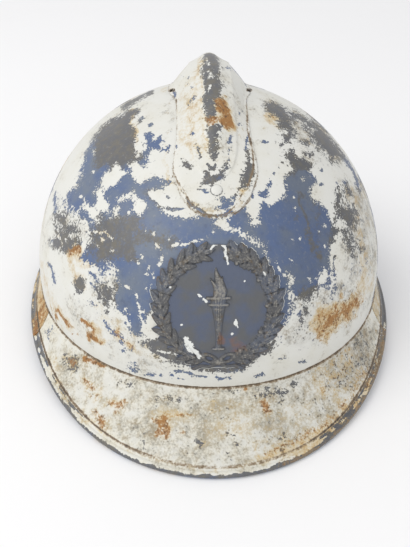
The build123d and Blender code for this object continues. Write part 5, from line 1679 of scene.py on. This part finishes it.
def laceCutters():
    sector = 2 * math.pi / leather["tongues"]
    cutters = []
    for i in range(leather["tongues"]):
        turn = sector * (i + 0.5)
        place = (leather["slotRing"] * math.sin(turn), centreY - leather["slotRing"] * math.cos(turn), 0.1)
        cutters.append(boxAt(place, (leather["slotWidth"], leather["slotLength"], 0.1), turn - math.pi / 2))
    return joined(cutters, "laceSlots")


def makeLeather():
    n, count = leather["columns"], leather["tongues"]
    firstOpen = leather["bandRows"] + leather["lowRows"]
    rows = firstOpen + leather["tongueRows"]
    clearSelection()
    bpy.ops.mesh.primitive_grid_add(x_subdivisions=count * (n + 1), y_subdivisions=rows, size=1)
    liner = bpy.context.object
    liner.name = "leatherLiner"
    bpy.ops.object.mode_set(mode="EDIT")
    bpy.ops.mesh.select_mode(type="FACE")
    bpy.ops.mesh.select_all(action="DESELECT")
    endEdit()
    for face in liner.data.polygons:  # the strips between the tongues
        column = int((face.center.x + 0.5) * count * (n + 1))
        row = int((face.center.y + 0.5) * rows)
        face.select = column % (n + 1) == n and row >= firstOpen
    bpy.ops.object.mode_set(mode="EDIT")
    bpy.ops.mesh.delete(type="FACE")
    endEdit()
    spots, edge = shapeLeather(meshPoints(liner))
    loose = smoothStep(np.hypot(spots[:, 0], spots[:, 1] - centreY), leather["sagFrom"], 0.05)
    loose *= smoothStep(spots[:, 2], leather["gapLevel"], leather["gapLevel"] + 0.02)
    spots[:, 2] -= leather["sag"] * loose * (0.5 + 0.5 * cloudNoise(spots, leather["sagSize"], 3, 5.2))
    setPoints(liner, spots)
    writeLayer(liner, "edge", edge)
    weld(1e-6)
    middle = meshPoints(liner).mean(axis=0)
    if ((meshPoints(liner) - middle) * meshNormals(liner)).sum() < 0:
        bpy.ops.object.mode_set(mode="EDIT")
        bpy.ops.mesh.flip_normals()
        endEdit()
    applyModifier(liner, "SOLIDIFY", thickness=leather["thickness"], offset=-1, use_even_offset=True)
    cutWith(liner, laceCutters())
    cutWith(liner, stapleCutters())
    smoothShade(liner, 45)
    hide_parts("leather_liner")
    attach(liner, "root")
    return liner


def threadAlong(name, path, outward, pitch, radius):  # stitches: a thread that dips under the leather
    along = lengthAlong(path)
    count = int(along[-1] / pitch) * 8
    steps = np.linspace(0, along[-1], count + 1)
    line, out = readAlong(path, along, steps), readAlong(outward, along, steps)
    side = np.cross(unit(np.gradient(line, axis=0)), out)
    phase = steps / along[-1] * int(along[-1] / pitch) * 2 * math.pi
    lift = radius * (0.1 + 1.5 * np.cos(phase))
    ring = np.linspace(0, 2 * math.pi, 7)[:-1]
    sections = [line[i] + out[i] * lift[i] + radius * (
        np.outer(np.cos(ring), out[i]) + np.outer(np.sin(ring), side[i])) for i in range(count + 1)]
    thread = loftSections(name, sections)
    smoothShade(thread, 80)
    return thread


def makeLinerStitching():
    turns = np.linspace(0, 2 * math.pi, 721)
    wide, long = offsetAxes(leather["outside"] + leather["thickness"])
    path = np.column_stack((wide * np.sin(turns), centreY - long * np.cos(turns),
                            np.full(len(turns), leather["stitchLevel"])))
    inward = unit(-np.column_stack((np.sin(turns) / wide, -np.cos(turns) / long, np.zeros(len(turns)))))
    thread = threadAlong("linerStitching", path[:-1], inward[:-1],
                         leather["stitchPitch"], leather["stitchRadius"])
    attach(thread, "root")
    return thread


def makeFelt():
    sections = []
    levels = np.linspace(felt["low"], felt["high"], felt["levels"])
    sides = ((felt["outside"], levels), (felt["outside"] + felt["thickness"], levels[::-1]))
    for turn in np.linspace(0, 2 * math.pi, felt["steps"] + 1):
        outline = []
        for inset, order in sides:
            wide, long = offsetAxes(inset)
            outline += [(wide * math.sin(turn), centreY - long * math.cos(turn), z) for z in order]
        sections.append(outline)
    band = loftSections("feltBand", sections, caps=False)
    spots = meshPoints(band)
    atEdge = spots[:, 2] > felt["high"] - felt["fuzzReach"]
    atEdge |= spots[:, 2] < felt["low"] + felt["fuzzReach"]
    spots[:, 2] += felt["fuzz"] * 2 * cloudNoise(spots, felt["fuzzSize"], 3) * atEdge
    setPoints(band, spots)
    cutWith(band, stapleCutters())
    smoothShade(band, 50)
    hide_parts("felt_band")
    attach(band, "root")
    return band


lace = {
    "radius": 0.0012, "ring": 0.026, "weave": 0.0024, "turnAngle": 6, "edgeAngle": 18, "endAngle": 2,
    "strands": 3, "twist": 0.0085, "groove": 0.24, "knotRadius": 0.0034, "knotTube": 0.00115,
}


def lacePoint(angle, lift):
    turn = math.radians(angle)
    wide, long = offsetAxes(leather["outside"] + leather["thickness"] / 2)
    x, y = lace["ring"] * math.sin(turn), -lace["ring"] * math.cos(turn)
    rise = leather["rise"] - leather["thickness"] / 2
    level = leather["turnLevel"] + rise * math.sqrt(1 - (x / wide) ** 2 - (y / long) ** 2)
    return (x, y + centreY, level + lift)


def smoothLine(points, order=3):  # points along a NURBS spline with these control points
    curve = bpy.data.curves.new("guide", "CURVE")
    curve.dimensions = "3D"
    spline = curve.splines.new("NURBS")
    spline.points.add(len(points) - 1)
    for made, point in zip(spline.points, points):
        made.co = (*point, 1)
    spline.order_u = order
    spline.use_endpoint_u = True
    spline.resolution_u = 12
    guide = bpy.data.objects.new("guide", curve)
    bpy.context.collection.objects.link(guide)
    mesh = bpy.data.meshes.new_from_object(guide)
    line = np.empty(len(mesh.vertices) * 3)
    mesh.vertices.foreach_get("co", line)
    bpy.data.meshes.remove(mesh)
    bpy.data.objects.remove(guide)
    bpy.data.curves.remove(curve)
    return line.reshape(-1, 3)


def twistedCord(name, line, radius, step=0.0004):
    along = lengthAlong(line)
    steps = np.linspace(0, along[-1], int(along[-1] / step) + 1)
    line = readAlong(line, along, steps)
    ahead = unit(np.gradient(line, axis=0))
    normal = np.cross(ahead[0], (0, 0, 1.0) if abs(ahead[0, 2]) < 0.9 else (1.0, 0, 0))
    ring = np.linspace(0, 2 * math.pi, 13)[:-1]
    size = radius * (1 - lace["groove"] * (0.5 - 0.5 * np.cos(lace["strands"] * ring)))
    sections = []
    for i in range(len(line)):
        normal = normal - ahead[i] * (normal @ ahead[i])
        normal /= np.linalg.norm(normal)
        side = np.cross(ahead[i], normal)
        turn = 2 * math.pi * steps[i] / lace["twist"]
        taper = min(1, (0.35 + 1.2 * min(steps[i], along[-1] - steps[i]) / radius))
        sections.append(line[i] + (taper * size)[:, None] * (
            np.outer(np.cos(ring + turn), normal) + np.outer(np.sin(ring + turn), side)))
    cord = loftSections(name, sections)
    smoothShade(cord, 80)
    return cord


def makeLace():
    points = [lacePoint(lace["endAngle"], 0)]
    for i in range(leather["tongues"]):
        middle = 360 * (i + 0.5) / leather["tongues"]
        for side, angle in ((-1, "edgeAngle"), (-1, "turnAngle"), (1, "turnAngle"), (1, "edgeAngle")):
            points.append(lacePoint(middle + side * lace[angle], -side * lace["weave"]))
    points.append(lacePoint(360 - lace["endAngle"], 0))
    cord = twistedCord("linerLace", smoothLine(points), lace["radius"])
    t = np.linspace(0.3, 2 * math.pi + 0.3, 60)
    size = (lace["knotRadius"] - lace["knotTube"]) / 3
    turns = np.column_stack((
        np.sin(t) + 2 * np.sin(2 * t), 1.1 * np.sin(3 * t), np.cos(t) - 2 * np.cos(2 * t)))
    knot = twistedCord("laceKnot", np.array(lacePoint(0, 0)) + size * turns, lace["knotTube"], 0.0003)
    lacing = joined([cord, knot], "linerLace")
    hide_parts("liner_lace")
    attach(lacing, "root")
    return lacing


# chinstrap


strap = {
    "pivotBack": 0.012, "pivotLevel": 0.012, "drop": 1.7835, "width": 0.015, "thickness": 0.002,
    "ringPlane": 0.09295, "ringDrop": 0.009, "layerGap": 0.0001, "depth": 0.098, "bottomHalf": 0.048,
    "shoulderOut": 0.086, "shoulderDepth": 0.046, "cornerRadius": 0.034, "overlap": 0.024,
    "eyeRadius": 0.00265, "eyeOpen": 30, "eyeRun": 0.0085, "edgeRound": 0.0007, "step": 0.0011,
    "rivetAlong": 0.015, "rivetHole": 0.00162, "holeDepth": 0.008, "wornReach": 0.0018,
}


def filletLine(points, radius, step):  # a run of straights with round corners
    points = [np.array(p, float) for p in points]
    line = [points[0]]
    for before, corner, after in zip(points, points[1:], points[2:]):
        u, v = unit(np.array((before - corner, after - corner)))
        half = math.acos(np.clip(u @ v, -1, 1)) / 2
        centre = corner + (u + v) / np.linalg.norm(u + v) * radius / math.sin(half)
        a, b = (corner + way * radius / math.tan(half) - centre for way in (u, v))
        sweep = math.atan2(a[0] * b[1] - a[1] * b[0], a @ b)
        for share in np.linspace(0, 1, max(3, int(abs(sweep) * radius / step))):
            c, s = math.cos(sweep * share), math.sin(sweep * share)
            line.append(centre + (a[0] * c - a[1] * s, a[0] * s + a[1] * c))
    line.append(points[-1])
    return np.array(line)


def strapEnd():  # where the outer layer starts at the ring, the way along it and the way in
    start = np.array((strap["ringPlane"] + (strap["thickness"] + strap["layerGap"]) / 2, strap["ringDrop"]))
    along = np.array((strap["shoulderOut"], strap["shoulderDepth"])) - start
    along /= np.linalg.norm(along)
    return start, along, np.array((-along[1], along[0]))


def strapLine():  # the strap's middle line in its own plane, from one folded end to the other
    start, along, inward = strapEnd()
    lap = start + inward * (strap["thickness"] + strap["layerGap"])
    bar = np.array((strap["ringPlane"], strap["ringDrop"]))
    angles = np.radians(np.linspace(strap["eyeOpen"], -180 - strap["eyeOpen"], 17))
    eye = bar + strap["eyeRadius"] * (np.outer(np.cos(angles), inward) + np.outer(np.sin(angles), along))
    halfway = lap + along * 0.5 * (strap["overlap"] + strap["eyeRun"])
    fold = np.vstack((lap + along * strap["overlap"], halfway, lap + along * strap["eyeRun"],
                      eye, start + along * strap["eyeRun"]))
    reach = lengthAlong(fold)
    fine = np.arange(0, reach[-1], strap["step"] / 2)
    fold = np.column_stack([curveThrough(reach, fold[:, k], fine) for k in (0, 1)])
    corners = [start + along * strap["eyeRun"], (strap["shoulderOut"], strap["shoulderDepth"]),
               (strap["bottomHalf"], strap["depth"]), (0, strap["depth"])]
    half = np.vstack((fold, filletLine(corners, strap["cornerRadius"], strap["step"])))
    half = half[np.concatenate(([True], np.linalg.norm(np.diff(half, axis=0), axis=1) > 1e-6))]
    return np.vstack((half, half[-2::-1] * (-1, 1)))


def strapPlace(flat, across):  # from the strap's plane into space
    drop = math.radians(strap["drop"])
    away, up = np.array((0, math.cos(drop), -math.sin(drop))), np.array((0, math.sin(drop), math.cos(drop)))
    origin = np.array((0, strap["pivotBack"] + centreY, strap["pivotLevel"]))
    return origin + np.outer(flat[:, 0], (1, 0, 0)) + np.outer(flat[:, 1], away) + np.outer(across, up)


def makeStrap():
    line = strapLine()
    reach = lengthAlong(line)
    line = readAlong(line, reach, np.linspace(0, reach[-1], int(reach[-1] / strap["step"]) + 1))
    ahead = unit(np.gradient(line, axis=0))
    side = np.column_stack((-ahead[:, 1], ahead[:, 0]))
    half, thin, soft = strap["width"] / 2, strap["thickness"] / 2, strap["edgeRound"]
    corner = np.linspace(0, math.pi / 2, 4)
    quarter = np.column_stack((thin - soft + soft * np.cos(corner), half - soft + soft * np.sin(corner)))
    fill = np.linspace(half - soft, -half + soft, 9)[1:-1]
    right = np.vstack((quarter[::-1], np.column_stack((np.full(7, thin), fill)), quarter * (1, -1)))
    outline = np.vstack((right, -right))
    band = loftSections("chinStrap", [
        strapPlace(line[i] + np.outer(outline[:, 0], side[i]), outline[:, 1]) for i in range(len(line))])
    drop = math.radians(strap["drop"])
    away = meshPoints(band) - (0, strap["pivotBack"] + centreY, strap["pivotLevel"])
    away = np.abs(away @ np.array((0, math.sin(drop), math.cos(drop))))
    writeLayer(band, "edge", smoothStep(away, half - strap["wornReach"], half))
    cutters = []
    first, along, inward = strapEnd()
    middle = first + along * strap["rivetAlong"] + inward * (strap["thickness"] + strap["layerGap"]) / 2
    for mirror in (1, -1):
        place, tip = strapPlace(np.array((middle, middle + inward)) * (mirror, 1), np.zeros(2))
        turn = Vector(tip - place).to_track_quat("Z", "Y").to_euler()
        clearSelection()
        bpy.ops.mesh.primitive_cylinder_add(vertices=32, radius=strap["rivetHole"],
                                            depth=strap["holeDepth"], location=place, rotation=turn)
        settle(bpy.context.object)
        cutters.append(bpy.context.object)
    cutWith(band, joined(cutters, "rivetHoles"))
    smoothShade(band, 50)
    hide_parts("chinstrap")
    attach(band, "chinstrap")
    return band


leatherTones = {
    "liner": (0.205, 0.105, 0.048), "linerDark": (0.075, 0.038, 0.02), "linerWorn": (0.33, 0.20, 0.11),
    "strap": (0.135, 0.066, 0.032), "strapDark": (0.045, 0.024, 0.014), "strapWorn": (0.25, 0.145, 0.08),
}


def leatherWork(name, kind):
    material, tree = newMaterial(name)
    tone, deep, worn = (leatherTones[kind + end] for end in ("", "Dark", "Worn"))
    pores, creases = grain(tree, 0.0007, 4.0, 0.6), grain(tree, 0.0035, 6.0, 0.65, shift=0.3)
    clouds = grain(tree, 0.022, 4.0, 0.5, shift=0.8)
    colour = coat(tree, tone, deep, clouds, 0.35, 0.65)
    colour = coat(tree, colour, worn, mixed(tree, (creases, 0.6), (pores, 0.4)), 0.52, 0.66, 0.6)
    colour = coat(tree, colour, worn, painted(tree, "edge"), 0.2, 0.9, 0.6)
    crack = ramp(tree, compute(tree, "ABSOLUTE", compute(tree, "SUBTRACT", creases, 0.5)), 0.0, 0.02, 1, 0)
    colour = blend(tree, times(tree, crack, 0.5), colour, deep)
    relief = bump(tree, plus(tree, pores, times(tree, creases, 1.2)), 0.00035, 0.5)
    relief = bump(tree, compute(tree, "SUBTRACT", 1.0, crack), 0.0002, 0.5, relief)
    finishMaterial(tree, colour, ramp(tree, clouds, 0.3, 0.7, 0.42, 0.68), relief)
    return material


def woolWork():
    material, tree = newMaterial("woolFelt")
    fibres, clouds = grain(tree, 0.0006, 5.0, 0.75), grain(tree, 0.01, 3.0, 0.5, shift=0.4)
    colour = coat(tree, (0.055, 0.06, 0.072), (0.15, 0.155, 0.165), fibres, 0.38, 0.64)
    colour = coat(tree, colour, (0.16, 0.14, 0.11), clouds, 0.5, 0.75, 0.4)
    finishMaterial(tree, colour, 0.95, bump(tree, fibres, 0.0004, 0.8), specular=0.15)
    return material


def threadWork(name, pale, dark):
    material, tree = newMaterial(name)
    fibres, clouds = grain(tree, 0.0004, 4.0, 0.7), grain(tree, 0.006, 3.0, 0.5, shift=0.5)
    colour = coat(tree, coat(tree, dark, pale, fibres, 0.36, 0.62), dark, clouds, 0.45, 0.75, 0.5)
    finishMaterial(tree, colour, 0.85, bump(tree, fibres, 0.0002, 0.7), specular=0.25)
    return material


def metalWork(name, tone, rustShare, rough, metallic=0.9):
    material, tree = newMaterial(name)
    fine, middle = grain(tree, 0.0009, 4.0, 0.65), grain(tree, 0.005, 5.0, 0.62, shift=0.35)
    colour = coat(tree, tone, [0.6 * part for part in tone], middle, 0.35, 0.7)
    rusty = ramp(tree, mixed(tree, (middle, 0.6), (fine, 0.4)), 0.62 - 0.16 * rustShare,
                 0.72 - 0.12 * rustShare, 0, min(1, 1.4 * rustShare))
    rust = coat(tree, (0.10, 0.048, 0.025), (0.24, 0.11, 0.045), fine, 0.4, 0.62)
    colour = blend(tree, rusty, colour, rust)
    roughness = plus(tree, ramp(tree, middle, 0.3, 0.7, rough - 0.07, rough + 0.1),
                     times(tree, rusty, 0.35))
    shine = compute(tree, "SUBTRACT", metallic, times(tree, rusty, metallic), clamp=True)
    relief = bump(tree, plus(tree, times(tree, fine, 0.5), rusty), 0.0001, 0.5)
    finishMaterial(tree, colour, roughness, relief, metallic=shine)
    return material


def rivetPaint():  # white paint with a worn ring at the foot of each head
    material, tree = newMaterial("rivetPaint")
    spots = meshPoints(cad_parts["crest_rivets"])
    coordinates = tree.nodes.new("ShaderNodeTexCoord")
    fine, rings = grain(tree, 0.0009, 3.0, 0.6), []
    for rows in (spots[:, 1] < centreY, spots[:, 1] >= centreY):
        axis = (spots[rows].mean(axis=0) - bowlMiddle) / bowlAxes ** 2
        away = tree.nodes.new("ShaderNodeVectorMath")
        away.operation = "DISTANCE"
        feed(tree, away.inputs[0], coordinates.outputs["Object"])
        feed(tree, away.inputs[1], spots[rows][np.argmax(spots[rows] @ axis)])
        rings.append(away.outputs["Value"])
    ring = compute(tree, "MINIMUM", *rings)
    worn = plus(tree, ramp(tree, ring, 0.0018, 0.0034), centred(tree, fine, 1.8))
    colour = coat(tree, paintTones["white"], paintTones["dark"], worn, 0.55, 0.9)
    finishMaterial(tree, colour, 0.5, bump(tree, fine, 0.0001, 0.5))
    return material


leatherPiece = makeLeather()
setMaterial(leatherPiece, leatherWork("linerLeather", "liner"))
setMaterial(makeLinerStitching(), threadWork("linenThread", (0.50, 0.42, 0.29), (0.22, 0.17, 0.11)))
feltPiece = makeFelt()
setMaterial(feltPiece, woolWork())
lacePiece = makeLace()
setMaterial(lacePiece, threadWork("laceCotton", (0.47, 0.40, 0.29), (0.20, 0.16, 0.11)))
strapPiece = makeStrap()
setMaterial(strapPiece, leatherWork("strapLeather", "strap"))
print("leather, felt, lace and strap", [len(piece.data.polygons) for piece in (
    leatherPiece, feltPiece, lacePiece, strapPiece)], "faces")

steelAged = metalWork("agedSteel", (0.30, 0.29, 0.28), 0.75, 0.45)
steelBright = metalWork("wornSteel", (0.42, 0.41, 0.40), 0.35, 0.36)
aluminium = metalWork("dullAluminium", (0.56, 0.565, 0.575), 0.0, 0.42)
keptNodes = {
    "crest_rivets": rivetPaint(), "crest_rivet_washers": steelAged, "badge_prongs": steelAged,
    "liner_staples": steelAged, "strap_hanger_left": steelAged, "strap_hanger_right": steelAged,
    "strap_ring_left": steelBright, "strap_ring_right": steelBright, "strap_end_rivets": steelBright,
    "strap_slider": steelBright, "liner_spacer_front": aluminium, "liner_spacer_right": aluminium,
    "liner_spacer_rear": aluminium, "liner_spacer_left": aluminium,
}
for name, material in keptNodes.items():
    setMaterial(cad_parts[name], material)
print("fittings have their materials")
